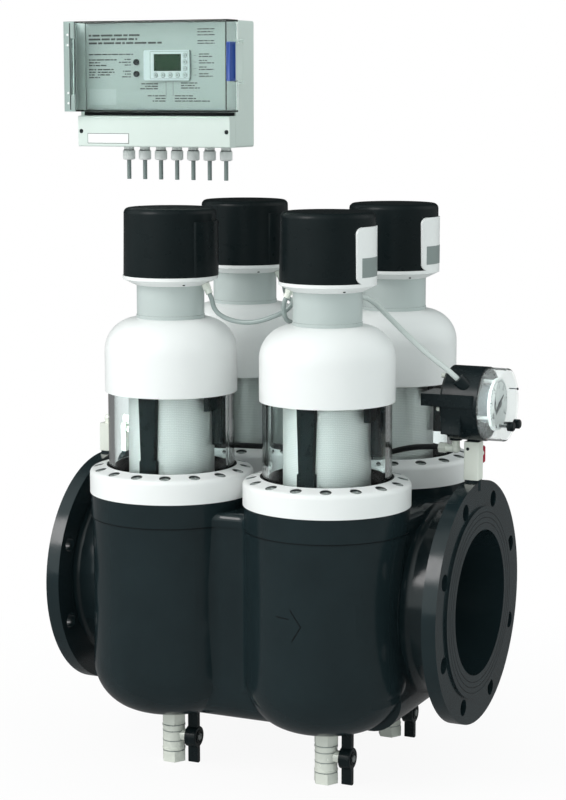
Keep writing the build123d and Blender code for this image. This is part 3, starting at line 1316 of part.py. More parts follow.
# Terminal cover: shallow lid over the terminal bay, with two screw posts
terminal_back_y = BOX_FRONT_Y - SEAT_CLEARANCE
terminal_depth = TERMINAL_DEPTH - SEAT_CLEARANCE
with BuildPart() as terminal_cover:
    with BuildSketch(Plane.XZ.offset(-terminal_back_y)):
        with Locations(((TERMINAL_LEFT + BOX_RIGHT) / 2, BOX_BOTTOM_Z + bay_height / 2)):
            Rectangle(BOX_RIGHT - TERMINAL_LEFT, bay_height)
    extrude(amount=terminal_depth)
    fillet(terminal_cover.edges().filter_by(Axis.X).group_by(Axis.Y)[0], TERMINAL_ROUND)
    with BuildSketch(Plane.XZ.offset(-terminal_back_y)):
        with Locations(((TERMINAL_LEFT + BOX_RIGHT) / 2, BOX_BOTTOM_Z + bay_height / 2)):
            Rectangle(BOX_RIGHT - TERMINAL_LEFT - 2 * COVER_WALL, bay_height - 2 * COVER_WALL)
    extrude(amount=terminal_depth - COVER_WALL, mode=Mode.SUBTRACT)
    screws = [
        (TERMINAL_LEFT + TERMINAL_POST_RADIUS, BOX_BOTTOM_Z + bay_height / 2),
        (BOX_RIGHT - TERMINAL_POST_RADIUS, BOX_BOTTOM_Z + bay_height / 2),
    ]
    with BuildSketch(Plane.XZ.offset(-terminal_back_y)):
        with Locations(*screws):
            Circle(TERMINAL_POST_RADIUS)
    extrude(amount=terminal_depth - COVER_WALL)
    with BuildSketch(Plane.XZ.offset(-terminal_back_y)):
        with Locations(*screws):
            Circle(TERMINAL_SCREW_RADIUS)
    extrude(amount=terminal_depth, mode=Mode.SUBTRACT)
keep(terminal_cover.part, "terminal_cover")

# Hinge strip: channel screwed to the box's left edge, with two knuckles and the hinge pin
cover_height = BOX_TOP_Z - COVER_BOTTOM_Z
cover_back_y = BOX_FRONT_Y - SEAT_CLEARANCE
strip_right = HINGE_X - HINGE_RADIUS - 2 * SEAT_CLEARANCE
with BuildPart() as hinge_strip:
    with BuildSketch(Plane.XY.offset(COVER_BOTTOM_Z)):
        with BuildLine():
            Polyline(
                (COVER_LEFT, COVER_FRONT_Y),
                (strip_right, COVER_FRONT_Y),
                (strip_right, COVER_FRONT_Y + COVER_WALL),
                (COVER_LEFT + COVER_WALL, COVER_FRONT_Y + COVER_WALL),
                (COVER_LEFT + COVER_WALL, cover_back_y - COVER_WALL),
                (strip_right, cover_back_y - COVER_WALL),
                (strip_right, cover_back_y),
                (COVER_LEFT, cover_back_y),
                (COVER_LEFT, COVER_FRONT_Y),
            )
        make_face()
    extrude(amount=cover_height)
    for knuckle_z in (COVER_BOTTOM_Z, BOX_TOP_Z - HINGE_KNUCKLE):
        with BuildSketch(Plane.XY.offset(knuckle_z)):
            with Locations((HINGE_X, HINGE_Y)):
                Circle(HINGE_RADIUS)
            with Locations(((strip_right + HINGE_X) / 2, COVER_FRONT_Y + COVER_WALL / 2)):
                Rectangle(HINGE_X - strip_right, COVER_WALL)
        extrude(amount=HINGE_KNUCKLE)
    with BuildSketch(Plane.XY.offset(COVER_BOTTOM_Z)):
        with Locations((HINGE_X, HINGE_Y)):
            Circle(HINGE_PIN_RADIUS)
    extrude(amount=cover_height)
keep(hinge_strip.part, "hinge_strip")

# Box cover: clear smoky door with one long knuckle on the hinge pin
door_left = HINGE_X + HINGE_RADIUS + SEAT_CLEARANCE
door_depth = cover_back_y - COVER_FRONT_Y
with BuildPart() as box_cover:
    with BuildSketch(Plane.XZ.offset(-cover_back_y)):
        with Locations(((door_left + COVER_RIGHT) / 2, (COVER_BOTTOM_Z + BOX_TOP_Z) / 2)):
            Rectangle(COVER_RIGHT - door_left, cover_height)
    extrude(amount=door_depth)
    fillet(box_cover.edges().filter_by(Axis.X).group_by(Axis.Y)[0], COVER_ROUND)
    with BuildSketch(Plane.XZ.offset(-cover_back_y)):
        with Locations(((door_left + COVER_RIGHT - COVER_WALL) / 2, (COVER_BOTTOM_Z + BOX_TOP_Z) / 2)):
            Rectangle(COVER_RIGHT - COVER_WALL - door_left, cover_height - 2 * COVER_WALL)
    extrude(amount=door_depth - COVER_WALL, mode=Mode.SUBTRACT)
    with BuildSketch(Plane.XY.offset(COVER_BOTTOM_Z + HINGE_KNUCKLE + SEAT_CLEARANCE)):
        with Locations((HINGE_X, HINGE_Y)):
            Circle(HINGE_RADIUS)
        with Locations(((HINGE_X + door_left) / 2, COVER_FRONT_Y + COVER_WALL / 2)):
            Rectangle(door_left - HINGE_X, COVER_WALL)
        with Locations((HINGE_X, HINGE_Y)):
            Circle(HINGE_PIN_RADIUS + RUNNING_CLEARANCE, mode=Mode.SUBTRACT)
    extrude(amount=cover_height - 2 * HINGE_KNUCKLE - 2 * SEAT_CLEARANCE)
keep(box_cover.part, "box_cover")

# Latch: blue clip on the right side of the box, turning on its own barrel
with BuildPart() as latch:
    with BuildSketch(Plane.XY.offset(LATCH_Z - LATCH_HEIGHT / 2)):
        with Locations((LATCH_X, (LATCH_FRONT_Y + LATCH_Y) / 2)):
            plate = Rectangle(LATCH_THICKNESS, LATCH_Y - LATCH_FRONT_Y)
        fillet(plate.vertices().group_by(Axis.Y)[0], LATCH_EDGE)
        with Locations((LATCH_X, LATCH_Y)):
            Circle(LATCH_BARREL_RADIUS)
        with Locations((LATCH_X, LATCH_Y)):
            Circle(LATCH_PIN_RADIUS + RUNNING_CLEARANCE, mode=Mode.SUBTRACT)
    extrude(amount=LATCH_HEIGHT)
keep(latch.part, "latch")

# Display module on the box front, bored for its buttons, and two signal lamps beside it
BUTTONS = []
for step in range(BUTTON_COLUMN_COUNT):
    BUTTONS.append((BUTTON_CORNER_X, BUTTON_ROW_Z + BUTTON_COLUMN_STEP * step))
for step in range(1, BUTTON_ROW_COUNT):
    BUTTONS.append((BUTTON_CORNER_X - BUTTON_ROW_STEP * step, BUTTON_ROW_Z))
module_back_y = BOX_FRONT_Y - SEAT_CLEARANCE
with BuildPart() as display_and_lamps:
    with BuildSketch(Plane.XZ.offset(-module_back_y)):
        with Locations(((MODULE_LEFT + MODULE_RIGHT) / 2, (MODULE_BOTTOM_Z + MODULE_TOP_Z) / 2)):
            frame = Rectangle(MODULE_RIGHT - MODULE_LEFT, MODULE_TOP_Z - MODULE_BOTTOM_Z)
        fillet(frame.vertices(), MODULE_ROUND)
        with Locations(*BUTTONS):
            Circle(BUTTON_RADIUS + RUNNING_CLEARANCE, mode=Mode.SUBTRACT)
    extrude(amount=MODULE_DEPTH - SEAT_CLEARANCE)
    with BuildSketch(Plane.XZ.offset(-MODULE_FACE_Y)):
        with Locations(((SCREEN_LEFT + SCREEN_RIGHT) / 2, (SCREEN_BOTTOM_Z + SCREEN_TOP_Z) / 2)):
            Rectangle(SCREEN_RIGHT - SCREEN_LEFT, SCREEN_TOP_Z - SCREEN_BOTTOM_Z)
    extrude(amount=-SCREEN_RECESS, mode=Mode.SUBTRACT)
    with BuildSketch(Plane.XZ.offset(-module_back_y)):
        with Locations(*[(LAMP_X, lamp_z) for lamp_z in LAMP_PLACES_Z]):
            Circle(LAMP_RADIUS)
    extrude(amount=LAMP_PROUD)
keep(display_and_lamps.part, "display_and_lamps")

# Buttons: eight round keys in the display module's frame
for number, (button_x, button_z) in enumerate(BUTTONS, start=1):
    with BuildPart() as button:
        with BuildSketch(Plane.XZ.offset(BUTTON_PROUD - MODULE_FACE_Y)):
            with Locations((button_x, button_z)):
                Circle(BUTTON_RADIUS)
        extrude(amount=-BUTTON_LENGTH)
    keep(button.part, f"button_{number}")

# Glands under the control box: hexagon body and round cap nut, bored for the cable
gland_places = []
for step in range(BOX_GLAND_COUNT):
    gland_places.append((BOX_GLAND_FIRST_X + BOX_GLAND_STEP * step, BOX_GLAND_Y))
with BuildPart() as control_glands:
    with BuildSketch(Plane.XY.offset(BOX_BOTTOM_Z - SEAT_CLEARANCE)):
        with Locations(*gland_places):
            RegularPolygon(BOX_GLAND_NUT_ACROSS / 2, 6, major_radius=False)
    extrude(amount=-BOX_GLAND_NUT_HEIGHT)
    with BuildSketch(Plane.XY.offset(BOX_BOTTOM_Z - BOX_GLAND_NUT_HEIGHT)):
        with Locations(*gland_places):
            Circle(BOX_GLAND_RADIUS)
    extrude(amount=BOX_GLAND_NUT_HEIGHT - BOX_GLAND_LENGTH)
    chamfer(control_glands.edges().filter_by(GeomType.CIRCLE).group_by(Axis.Z)[0], BOX_GLAND_CHAMFER)
    with BuildSketch(Plane.XY.offset(BOX_BOTTOM_Z - BOX_GLAND_LENGTH)):
        with Locations(*gland_places):
            Circle(CABLE_END_RADIUS + SEAT_CLEARANCE)
    extrude(amount=BOX_GLAND_NUT_HEIGHT, mode=Mode.SUBTRACT)
keep(control_glands.part, "control_glands")

# Cable ends: short cut lengths that hang from the glands
with BuildPart() as cable_ends:
    with BuildSketch(Plane.XY.offset(BOX_BOTTOM_Z - BOX_GLAND_LENGTH - CABLE_END_LENGTH)):
        with Locations(*gland_places):
            Circle(CABLE_END_RADIUS)
    extrude(amount=CABLE_END_LENGTH + BOX_GLAND_NUT_HEIGHT - SEAT_CLEARANCE)
keep(cable_ends.part, "cable_ends")
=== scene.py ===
"""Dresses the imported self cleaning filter: finishes, cables, small fasteners and the studio."""

import logging
from dataclasses import dataclass, field
from enum import Enum
from math import atan2, cos, pi, radians, sin
from typing import Callable, Sequence

import bpy
from mathutils import Euler, Matrix, Vector


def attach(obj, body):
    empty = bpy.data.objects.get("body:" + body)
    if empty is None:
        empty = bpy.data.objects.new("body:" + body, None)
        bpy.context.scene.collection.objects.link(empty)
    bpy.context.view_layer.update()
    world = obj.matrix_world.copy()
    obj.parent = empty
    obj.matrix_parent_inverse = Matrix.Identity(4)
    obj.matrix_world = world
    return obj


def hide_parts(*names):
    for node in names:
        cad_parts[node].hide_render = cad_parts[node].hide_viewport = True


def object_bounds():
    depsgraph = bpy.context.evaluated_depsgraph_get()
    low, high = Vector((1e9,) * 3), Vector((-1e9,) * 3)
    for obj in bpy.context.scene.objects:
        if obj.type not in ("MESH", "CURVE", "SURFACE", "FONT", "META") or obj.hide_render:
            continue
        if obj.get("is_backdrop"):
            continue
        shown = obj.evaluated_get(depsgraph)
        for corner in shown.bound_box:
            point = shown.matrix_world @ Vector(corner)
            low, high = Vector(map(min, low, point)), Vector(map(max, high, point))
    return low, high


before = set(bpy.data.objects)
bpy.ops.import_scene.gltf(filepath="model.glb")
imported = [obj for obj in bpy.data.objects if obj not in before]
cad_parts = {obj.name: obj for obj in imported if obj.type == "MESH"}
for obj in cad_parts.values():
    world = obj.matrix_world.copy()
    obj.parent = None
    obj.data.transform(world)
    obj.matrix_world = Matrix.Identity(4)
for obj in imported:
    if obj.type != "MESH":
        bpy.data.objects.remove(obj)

MM = 0.001
STATIC_BODY = "filter"
# Cosine past which a face counts as looking along an axis
STRAIGHT = 0.9
# The range in which nearly all values of a cloud pattern lie
CLOUD_LOW = 0.3
CLOUD_HIGH = 0.7
WHITE = (1.0, 1.0, 1.0, 1.0)

Colour = tuple[float, float, float]
Point = tuple[float, float, float]
Box = tuple[Point, Point]
Piece = bpy.types.Object
Socket = bpy.types.NodeSocket
Test = Callable[[Vector, Vector], bool]

log = logging.getLogger("scene")


def tone(code: str) -> Colour:
    """Turn a hex colour as seen on a screen into linear light.

    Args:
        code: Six hex digits, red first.

    Returns:
        The red, green and blue shares.
    """
    shares = [int(code[start : start + 2], 16) / 255 for start in (0, 2, 4)]
    return tuple(share / 12.92 if share <= 0.04045 else ((share + 0.055) / 1.055) ** 2.4 for share in shares)


def at(x: float, y: float, z: float) -> Vector:
    """Give a place in metres from millimetres of the shared frame."""
    return Vector((x, y, z)) * MM


def towards(x: float = 0.0, y: float = 0.0, z: float = 0.0) -> Test:
    """Give the test that picks the faces that look along an axis."""
    run = Vector((x, y, z))
    return lambda middle, normal: normal.dot(run) > STRAIGHT


class Facing(Enum):
    """Which way a piece's own Z axis looks once it is in place."""

    UP = (0.0, 0.0, 0.0)
    RIGHT = (pi / 2, 0.0, pi / 2)
    LEFT = (pi / 2, 0.0, -pi / 2)
    FRONT = (pi / 2, 0.0, 0.0)

    def turned(self, centre: Vector) -> Matrix:
        """Give the matrix that turns a piece this way at a place."""
        return Matrix.Translation(centre) @ Euler(self.value).to_matrix().to_4x4()


class Picked(Enum):
    """What an edit works on."""

    EDGES = (False, True, False)
    FACES = (False, False, True)


class Bench:
    """Hand tools: every new piece starts here as a primitive and is then shaped."""

    slant_parts: int = 50
    text_parts: int = 60
    text_steps: int = 3

    @staticmethod
    def clear() -> None:
        """Leave edit mode with nothing selected."""
        if bpy.context.object is not None and bpy.context.object.mode != "OBJECT":
            bpy.ops.object.mode_set(mode="OBJECT")
        bpy.ops.object.select_all(action="DESELECT")

    @classmethod
    def only(cls, *pieces: Piece) -> None:
        """Select just these pieces, the first of them active."""
        cls.clear()
        for piece in pieces:
            piece.select_set(True)
        bpy.context.view_layer.objects.active = pieces[0]

    @staticmethod
    def take(name: str) -> Piece:
        """Name the newest primitive and set its place into its mesh.

        Args:
            name: The piece's name.

        Returns:
            The piece.
        """
        piece = bpy.context.object
        piece.name = name
        piece.data.name = name
        bpy.ops.object.transform_apply(location=True, rotation=True, scale=True)
        return piece

    @classmethod
    def cylinder(
        cls,
        name: str,
        centre: Vector,
        radius: float,
        depth: float,
        facing: Facing = Facing.UP,
        sides: int = 32,
        capped: bool = True,
    ) -> Piece:
        """Add a round blank.

        Args:
            name: The piece's name.
            centre: Its middle.
            radius: Its radius.
            depth: Its length along its own axis.
            facing: Where that axis looks.
            sides: How many flats stand for the circle.
            capped: Whether its ends are closed.

        Returns:
            The blank.
        """
        cls.clear()
        bpy.ops.mesh.primitive_cylinder_add(
            vertices=sides,
            radius=radius,
            depth=depth,
            end_fill_type="NGON" if capped else "NOTHING",
            location=centre,
            rotation=facing.value,
        )
        return cls.take(name)

    @classmethod
    def block(cls, name: str, low: Vector, high: Vector) -> Piece:
        """Add a rectangular blank between two corners."""
        cls.clear()
        bpy.ops.mesh.primitive_cube_add(size=1, location=(low + high) / 2)
        bpy.context.object.scale = high - low
        return cls.take(name)

    @classmethod
    def box(cls, name: str, corners: Box) -> Piece:
        """Add a rectangular blank between two corners in millimetres."""
        return cls.block(name, at(*corners[0]), at(*corners[1]))

    @classmethod
    def sheet(
        cls, name: str, centre: Vector, width: float, height: float, facing: Facing, columns: int, rows: int
    ) -> Piece:
        """Add a flat blank divided into cells.

        Args:
            name: The piece's name.
            centre: Its middle.
            width: Its size along its own X axis.
            height: Its size along its own Y axis.
            facing: Where its face looks.
            columns: Cells across.
            rows: Cells up.

        Returns:
            The blank.
        """
        cls.clear()
        bpy.ops.mesh.primitive_grid_add(
            x_subdivisions=columns, y_subdivisions=rows, size=1, location=centre, rotation=facing.value
        )
        bpy.context.object.scale = (width, height, 1)
        return cls.take(name)

    @classmethod
    def ring(
        cls,
        name: str,
        centre: Vector,
        inner: float,
        outer: float,
        depth: float,
        facing: Facing = Facing.UP,
        sides: int = 64,
    ) -> Piece:
        """Add a flat ring: an open tube given its wall inwards.

        Args:
            name: The piece's name.
            centre: Its middle.
            inner: Inner radius.
            outer: Outer radius.
            depth: Its length along its own axis.
            facing: Where that axis looks.
            sides: How many flats stand for the circle.

        Returns:
            The ring.
        """
        piece = cls.cylinder(name, centre, outer, depth, facing, sides, capped=False)
        cls.modifier(piece, "SOLIDIFY", thickness=outer - inner, offset=-1, use_even_offset=True)
        return piece

    @classmethod
    def pick(cls, piece: Piece, picked: Picked, test: Test) -> None:
        """Enter edit mode with the faces or edges selected that pass a test.

        Args:
            piece: The piece to edit.
            picked: Whether faces or edges are meant.
            test: Takes a face's centre and normal, or an edge's middle and run.
        """
        cls.only(piece)
        bpy.context.tool_settings.mesh_select_mode = picked.value
        mesh = piece.data
        for parts in (mesh.vertices, mesh.edges, mesh.polygons):
            parts.foreach_set("select", [False] * len(parts))
        if picked is Picked.FACES:
            for face in mesh.polygons:
                face.select = test(face.center, face.normal)
        else:
            for edge in mesh.edges:
                start, end = (mesh.vertices[index].co for index in edge.vertices)
                edge.select = test((start + end) / 2, end - start)
        bpy.ops.object.mode_set(mode="EDIT")

    @classmethod
    def sink(cls, piece: Piece, test: Test, margin: float, depth: float) -> None:
        """Inset the faces that pass a test and push them in.

        Args:
            piece: The piece to edit.
            test: Takes a face's centre and normal.
            margin: Width of the rim that stays.
            depth: How far the inner faces go in; negative raises them.
        """
        cls.pick(piece, Picked.FACES, test)
        bpy.ops.mesh.inset(thickness=margin, depth=0)
        bpy.ops.mesh.inset(thickness=margin / cls.slant_parts, depth=-depth)
        cls.clear()

    @classmethod
    def modifier(cls, piece: Piece, kind: str, **settings: object) -> None:
        """Add a modifier with its settings and apply it."""
        cls.only(piece)
        made = piece.modifiers.new(kind.title(), kind)
        for key, value in settings.items():
            setattr(made, key, value)
        bpy.ops.object.modifier_apply(modifier=made.name)

    @classmethod
    def soften(cls, piece: Piece, width: float, segments: int = 2, angle: float = 35) -> None:
        """Bevel a piece's sharp edges and shade it smooth."""
        cls.modifier(
            piece, "BEVEL", width=width, segments=segments, limit_method="ANGLE", angle_limit=radians(angle)
        )
        cls.only(piece)
        bpy.ops.object.shade_smooth_by_angle(angle=radians(angle))

    @classmethod
    def cut(cls, piece: Piece, cutter: Piece) -> None:
        """Take a cutter's shape out of a piece and throw the cutter away."""
        cls.modifier(piece, "BOOLEAN", operation="DIFFERENCE", object=cutter, solver="EXACT")
        bpy.data.objects.remove(cutter)

    @classmethod
    def copy(cls, piece: Piece, name: str, place: Matrix) -> Piece:
        """Copy a piece with its own mesh, moved by a matrix.

        Args:
            piece: The piece that is modelled once.
            name: The copy's name.
            place: Where the copy goes, from where the first one is.

        Returns:
            The copy.
        """
        twin = piece.copy()
        twin.data = piece.data.copy()
        bpy.context.scene.collection.objects.link(twin)
        twin.matrix_world = place
        cls.only(twin)
        return cls.take(name)

    @classmethod
    def join(cls, name: str, pieces: Sequence[Piece]) -> Piece:
        """Join pieces into one under a new name."""
        cls.only(*pieces)
        if len(pieces) > 1:
            bpy.ops.object.join()
        return cls.take(name)

    @classmethod
    def lay_on(cls, piece: Piece, node: str, axis: str, thickness: float) -> None:
        """Press a flat sheet onto a CAD node and give it its thickness outwards.

        Args:
            piece: The sheet, in front of the node.
            node: The node that carries it.
            axis: The axis it moves along, downwards.
            thickness: How far it stands proud.
        """
        cls.modifier(
            piece,
            "SHRINKWRAP",
            target=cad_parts[node],
            wrap_method="PROJECT",
            use_negative_direction=True,
            use_positive_direction=True,
            **{f"use_project_{axis}": True},
        )
        cls.modifier(piece, "SOLIDIFY", thickness=2 * thickness, offset=0)

    @classmethod
    def text(cls, name: str, words: str, size: float, centre: Vector, facing: Facing) -> Piece:
        """Add a generic number as a thin flat mesh, centred on its place."""
        cls.clear()
        bpy.ops.object.text_add(location=centre, rotation=facing.value)
        piece = bpy.context.object
        piece.data.body = words
        piece.data.size = size
        piece.data.align_x = "CENTER"
        piece.data.align_y = "CENTER"
        piece.data.extrude = size / cls.text_parts
        piece.data.resolution_u = cls.text_steps
        bpy.ops.object.convert(target="MESH")
        return cls.take(name)


class Wiring:
    """A node tree, wired step by step."""

    def __init__(self, tree: bpy.types.NodeTree) -> None:
        """Take the tree that is to be wired."""
        self.tree = tree

    def add(self, kind: str, inputs: dict | None = None, **settings: object) -> bpy.types.Node:
        """Add a node.

        Args:
            kind: The node's type.
            inputs: Values or sockets for its inputs.
            settings: Its own settings.

        Returns:
            The node.
        """
        node = self.tree.nodes.new(kind)
        for key, value in settings.items():
            setattr(node, key, value)
        for key, value in (inputs or {}).items():
            if isinstance(value, bpy.types.NodeSocket):
                self.tree.links.new(value, node.inputs[key])
            else:
                node.inputs[key].default_value = value
        return node

    def maths(self, operation: str, first: Socket | float, second: Socket | float = 0.0) -> Socket:
        """Give the result of one sum on one or two values."""
        return self.add("ShaderNodeMath", {0: first, 1: second}, operation=operation).outputs[0]

    def ripples(self, run: Socket, pitch: float) -> Socket:
        """Give a sine along a run that repeats at a pitch."""
        return self.maths("SINE", self.maths("MULTIPLY", run, 2 * pi / pitch))

    def spread(
        self, value: Socket, low: float, high: float, start: float = CLOUD_LOW, end: float = CLOUD_HIGH
    ) -> Socket:
        """Spread a value's range from start to end over a new one from low to high."""
        inputs = {"Value": value, "From Min": start, "From Max": end, "To Min": low, "To Max": high}
        return self.add("ShaderNodeMapRange", inputs).outputs[0]

    def blend(self, factor: Socket, first: Colour, second: Colour) -> Socket:
        """Blend two colours by a factor."""
        # Sockets 6 and 7 take the node's colours, and output 2 gives the blended one
        inputs = {0: factor, 6: (*first, 1), 7: (*second, 1)}
        return self.add("ShaderNodeMix", inputs, data_type="RGBA").outputs[2]

    def along(self, place: Socket, run: Point, start: float) -> Socket:
        """Give how far a direction leans towards another, from 0 to 1.

        Args:
            place: The direction.
            run: The other direction.
            start: The cosine that gives 0.

        Returns:
            The share, eased at both ends.
        """
        lean = self.add(
            "ShaderNodeVectorMath", {0: place, 1: Vector(run).normalized()}, operation="DOT_PRODUCT"
        )
        inputs = {"Value": lean.outputs["Value"], "From Min": start, "From Max": 1.0}
        return self.add("ShaderNodeMapRange", inputs, interpolation_type="SMOOTHSTEP").outputs[0]

    def seen(self) -> Socket:
        """Give 1 for rays that show the backdrop itself, straight or through glass."""
        path = self.add("ShaderNodeLightPath").outputs
        direct = self.maths("MAXIMUM", path["Is Camera Ray"], path["Is Transmission Ray"])
        scattered = self.maths("ADD", path["Diffuse Depth"], path["Glossy Depth"])
        return self.maths("MULTIPLY", direct, self.maths("LESS_THAN", scattered, 0.5))


class NodeSheet(Wiring):
    """The node tree of one material; its patterns follow the object's own coordinates."""

    def __init__(self, name: str) -> None:
        """Start a material with its shader and its coordinates."""
        self.material = bpy.data.materials.new(name)
        self.material.use_nodes = True
        super().__init__(self.material.node_tree)
        self.shader = self.tree.nodes["Principled BSDF"]
        self.place: Socket = self.add("ShaderNodeTexCoord").outputs["Object"]

    def noise(self, scale: float, detail: float = 3.0) -> Socket:
        """Give an even, seeded cloud pattern."""
        inputs = {"Vector": self.place, "Scale": scale, "Detail": detail}
        return self.add("ShaderNodeTexNoise", inputs).outputs[0]

    def bump(self, height: Socket, distance: float, normal: Socket | None = None) -> Socket:
        """Turn a height pattern into a normal, on top of another if one is given."""
        inputs: dict = {"Height": height, "Distance": distance, "Strength": 1.0}
        if normal is not None:
            inputs["Normal"] = normal
        return self.add("ShaderNodeBump", inputs).outputs["Normal"]

    def use(self, **inputs: Socket | float | tuple) -> None:
        """Set or wire the shader's inputs, their names written with underscores."""
        for key, value in inputs.items():
            target = self.shader.inputs[key.replace("_", " ")]
            if isinstance(value, bpy.types.NodeSocket):
                self.tree.links.new(value, target)
            else:
                target.default_value = value


@dataclass(frozen=True)
class Finish:
    """A plain surface: its colour, its gloss and the slight unevenness a real one shows."""

    name: str
    slot: str
    colour: Colour
    roughness: float
    metallic: float = 0.0
    specular: float = 0.5
    drift: float = 0.06
    drift_scale: float = 14.0
    gloss_drift: float = 0.04
    gloss_fineness: float = 5.0
    grain: float = 0.00001
    grain_scale: float = 1500.0
    grain_detail: float = 2.0

    def material(self) -> bpy.types.Material:
        """Give the finish's material, made once."""
        made = bpy.data.materials.get(self.name)
        if made is not None:
            return made
        sheet = NodeSheet(self.name)
        sheet.use(Metallic=self.metallic, Specular_IOR_Level=self.specular)
        self.wire(sheet)
        return sheet.material

    def shaded(self, change: float) -> Colour:
        """Give the colour, lighter or darker by a share of itself."""
        return tuple(min(1.0, share * (1 + change)) for share in self.colour)

    def relief(self, sheet: NodeSheet) -> Socket:
        """Give the surface's fine grain as a normal."""
        return sheet.bump(sheet.noise(self.grain_scale, self.grain_detail), self.grain)

    def wire(self, sheet: NodeSheet) -> None:
        """Wire colour, gloss and relief."""
        cloud = sheet.spread(sheet.noise(self.drift_scale), 0, 1)
        gloss = sheet.noise(self.drift_scale * self.gloss_fineness)
        low, high = self.roughness - self.gloss_drift, self.roughness + self.gloss_drift
        sheet.use(
            Base_Color=sheet.blend(cloud, self.shaded(-self.drift), self.shaded(self.drift)),
            Roughness=sheet.spread(gloss, low, high),
            Normal=self.relief(sheet),
        )

    def dress(self, piece: Piece, body: str = STATIC_BODY) -> None:
        """Give a new piece this finish and the body it rides on."""
        piece.data.materials.clear()
        piece.data.materials.append(self.material())
        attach(piece, body)
        log.info("%s: %s", piece.name, self.name)

    def coat(self, *nodes: str) -> None:
        """Put this finish on CAD nodes."""
        for node in nodes:
            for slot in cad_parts[node].material_slots:
                slot.material = self.material()


@dataclass(frozen=True)
class CastFinish(Finish):
    """Enamel on cast iron: the sand's soft waves show under a fine orange peel."""

    wave: float = 0.00025
    wave_scale: float = 30.0

    def relief(self, sheet: NodeSheet) -> Socket:
        """Lay the fine grain over the casting's waves."""
        waves = sheet.bump(sheet.noise(self.wave_scale, self.grain_detail), self.wave)
        return sheet.bump(sheet.noise(self.grain_scale, self.grain_detail), self.grain, waves)


@dataclass(frozen=True)
class ClearFinish(Finish):
    """Clear glass or plastic with faint smears."""

    index: float = 1.46
    shine: float = 0.35
    clear: float = 1.0
    smear_detail: float = 4.0

    def wire(self, sheet: NodeSheet) -> None:
        """Wire a see-through surface."""
        sheet.use(
            Base_Color=(*self.colour, 1),
            Transmission_Weight=self.clear,
            IOR=self.index,
            Specular_Tint=(self.shine, self.shine, self.shine, 1),
            Roughness=sheet.spread(sheet.noise(self.drift_scale, self.smear_detail), 0.0, self.roughness),
            Normal=self.relief(sheet),
        )


@dataclass(frozen=True)
class SieveFinish(Finish):
    """Woven steel screen on a basket, its wires wound about the basket's own axis."""

    gloss_drift: float = 0.05
    centre: tuple[float, float] = (0.0, 0.0)
    radius: float = 60 * MM
    pitch: float = 2.4 * MM
    upright_share: float = 0.3
    hoop_share: float = 0.7
    blot_scale: float = 60.0

    def wire(self, sheet: NodeSheet) -> None:
        """Wire the weave: wires up the basket and around it."""
        x, y = self.centre
        shifted = sheet.add("ShaderNodeMapping", {"Vector": sheet.place, "Location": (-x, -y, 0)})
        parts = sheet.add("ShaderNodeSeparateXYZ", {0: shifted.outputs[0]}).outputs
        around = sheet.maths("MULTIPLY", sheet.maths("ARCTAN2", parts[1], parts[0]), self.radius)
        uprights = sheet.maths("MULTIPLY", sheet.ripples(around, self.pitch), self.upright_share)
        hoops = sheet.maths("MULTIPLY", sheet.ripples(parts[2], self.pitch), self.hoop_share)
        weave = sheet.maths("ADD", uprights, hoops)
        low, high = self.roughness - self.gloss_drift, self.roughness + self.gloss_drift
        sheet.use(
            Base_Color=sheet.blend(sheet.spread(weave, 0, 1, -1, 1), self.shaded(-self.drift), self.colour),
            Roughness=sheet.spread(sheet.noise(self.blot_scale), low, high),
            Normal=sheet.bump(weave, self.grain),
        )


@dataclass(frozen=True)
class TurnedFinish(Finish):
    """Turned or drawn metal: fine rings along one axis break up the gloss."""

    ring_pitch: float = 0.5 * MM
    blot_scale: float = 60.0

    def relief(self, sheet: NodeSheet) -> Socket:
        """Lay tool marks across the height over soft blots."""
        height = sheet.add("ShaderNodeSeparateXYZ", {0: sheet.place}).outputs[2]
        blots = sheet.bump(sheet.noise(self.blot_scale), self.grain)
        return sheet.bump(sheet.ripples(height, self.ring_pitch), self.grain, blots)


@dataclass(frozen=True)
class ScreenFinish(Finish):
    """Liquid crystal glass with a faint raster of cells."""

    cell: float = 0.6 * MM
    blot_scale: float = 80.0

    def wire(self, sheet: NodeSheet) -> None:
        """Wire the raster into colour and gloss."""
        parts = sheet.add("ShaderNodeSeparateXYZ", {0: sheet.place}).outputs
        across, upward = (sheet.ripples(parts[axis], self.cell) for axis in (0, 2))
        raster = sheet.maths("MULTIPLY", across, upward)
        blots = sheet.noise(self.blot_scale)
        sheet.use(
            Base_Color=sheet.blend(sheet.spread(raster, 0, 1, -1, 1), self.colour, self.shaded(self.drift)),
            Roughness=sheet.spread(blots, self.roughness, self.roughness + self.gloss_drift),
            Normal=sheet.bump(raster, self.grain),
        )


CAST_COAT = CastFinish(
    "cast coat", "coated_casting", (0.0120, 0.0215, 0.0245), 0.16, specular=0.4,
    drift=0.1, grain=0.000002, wave=0.00006, wave_scale=22.0
)
# Darker, matte coat for the machined faces, seams and grooves; on the flow arrow it paints shade along the
# arrow's shaded edges
FACE_AND_SHADE_COAT = CastFinish(
    "machined face and shade coat", "coated_casting", (0.004, 0.006, 0.007), 0.5, specular=0.15, wave=0.00005
)
WHITE_MOULD = Finish("white moulding", "white_plastic", (0.90, 0.915, 0.91), 0.32, drift=0.012)
MODULE_MOULD = Finish("module moulding", "white_plastic", tone("9ca7a7"), 0.4, drift=0.012)
NECK_MOULD = Finish("neck moulding", "grey_neck", tone("bfc9c7"), 0.32, drift=0.02)
CLEAR_GLASS = ClearFinish(
    "cylinder glass", "clear_glass", (0.925, 0.975, 0.97), 0.015, drift_scale=9.0, grain=0.000002
)
GAUGE_GLASS = ClearFinish(
    "gauge window", "gauge_clear", (0.91, 0.93, 0.925), 0.03, drift_scale=30.0, grain=0.000002,
    index=1.04, shine=1.0, clear=0.92
)
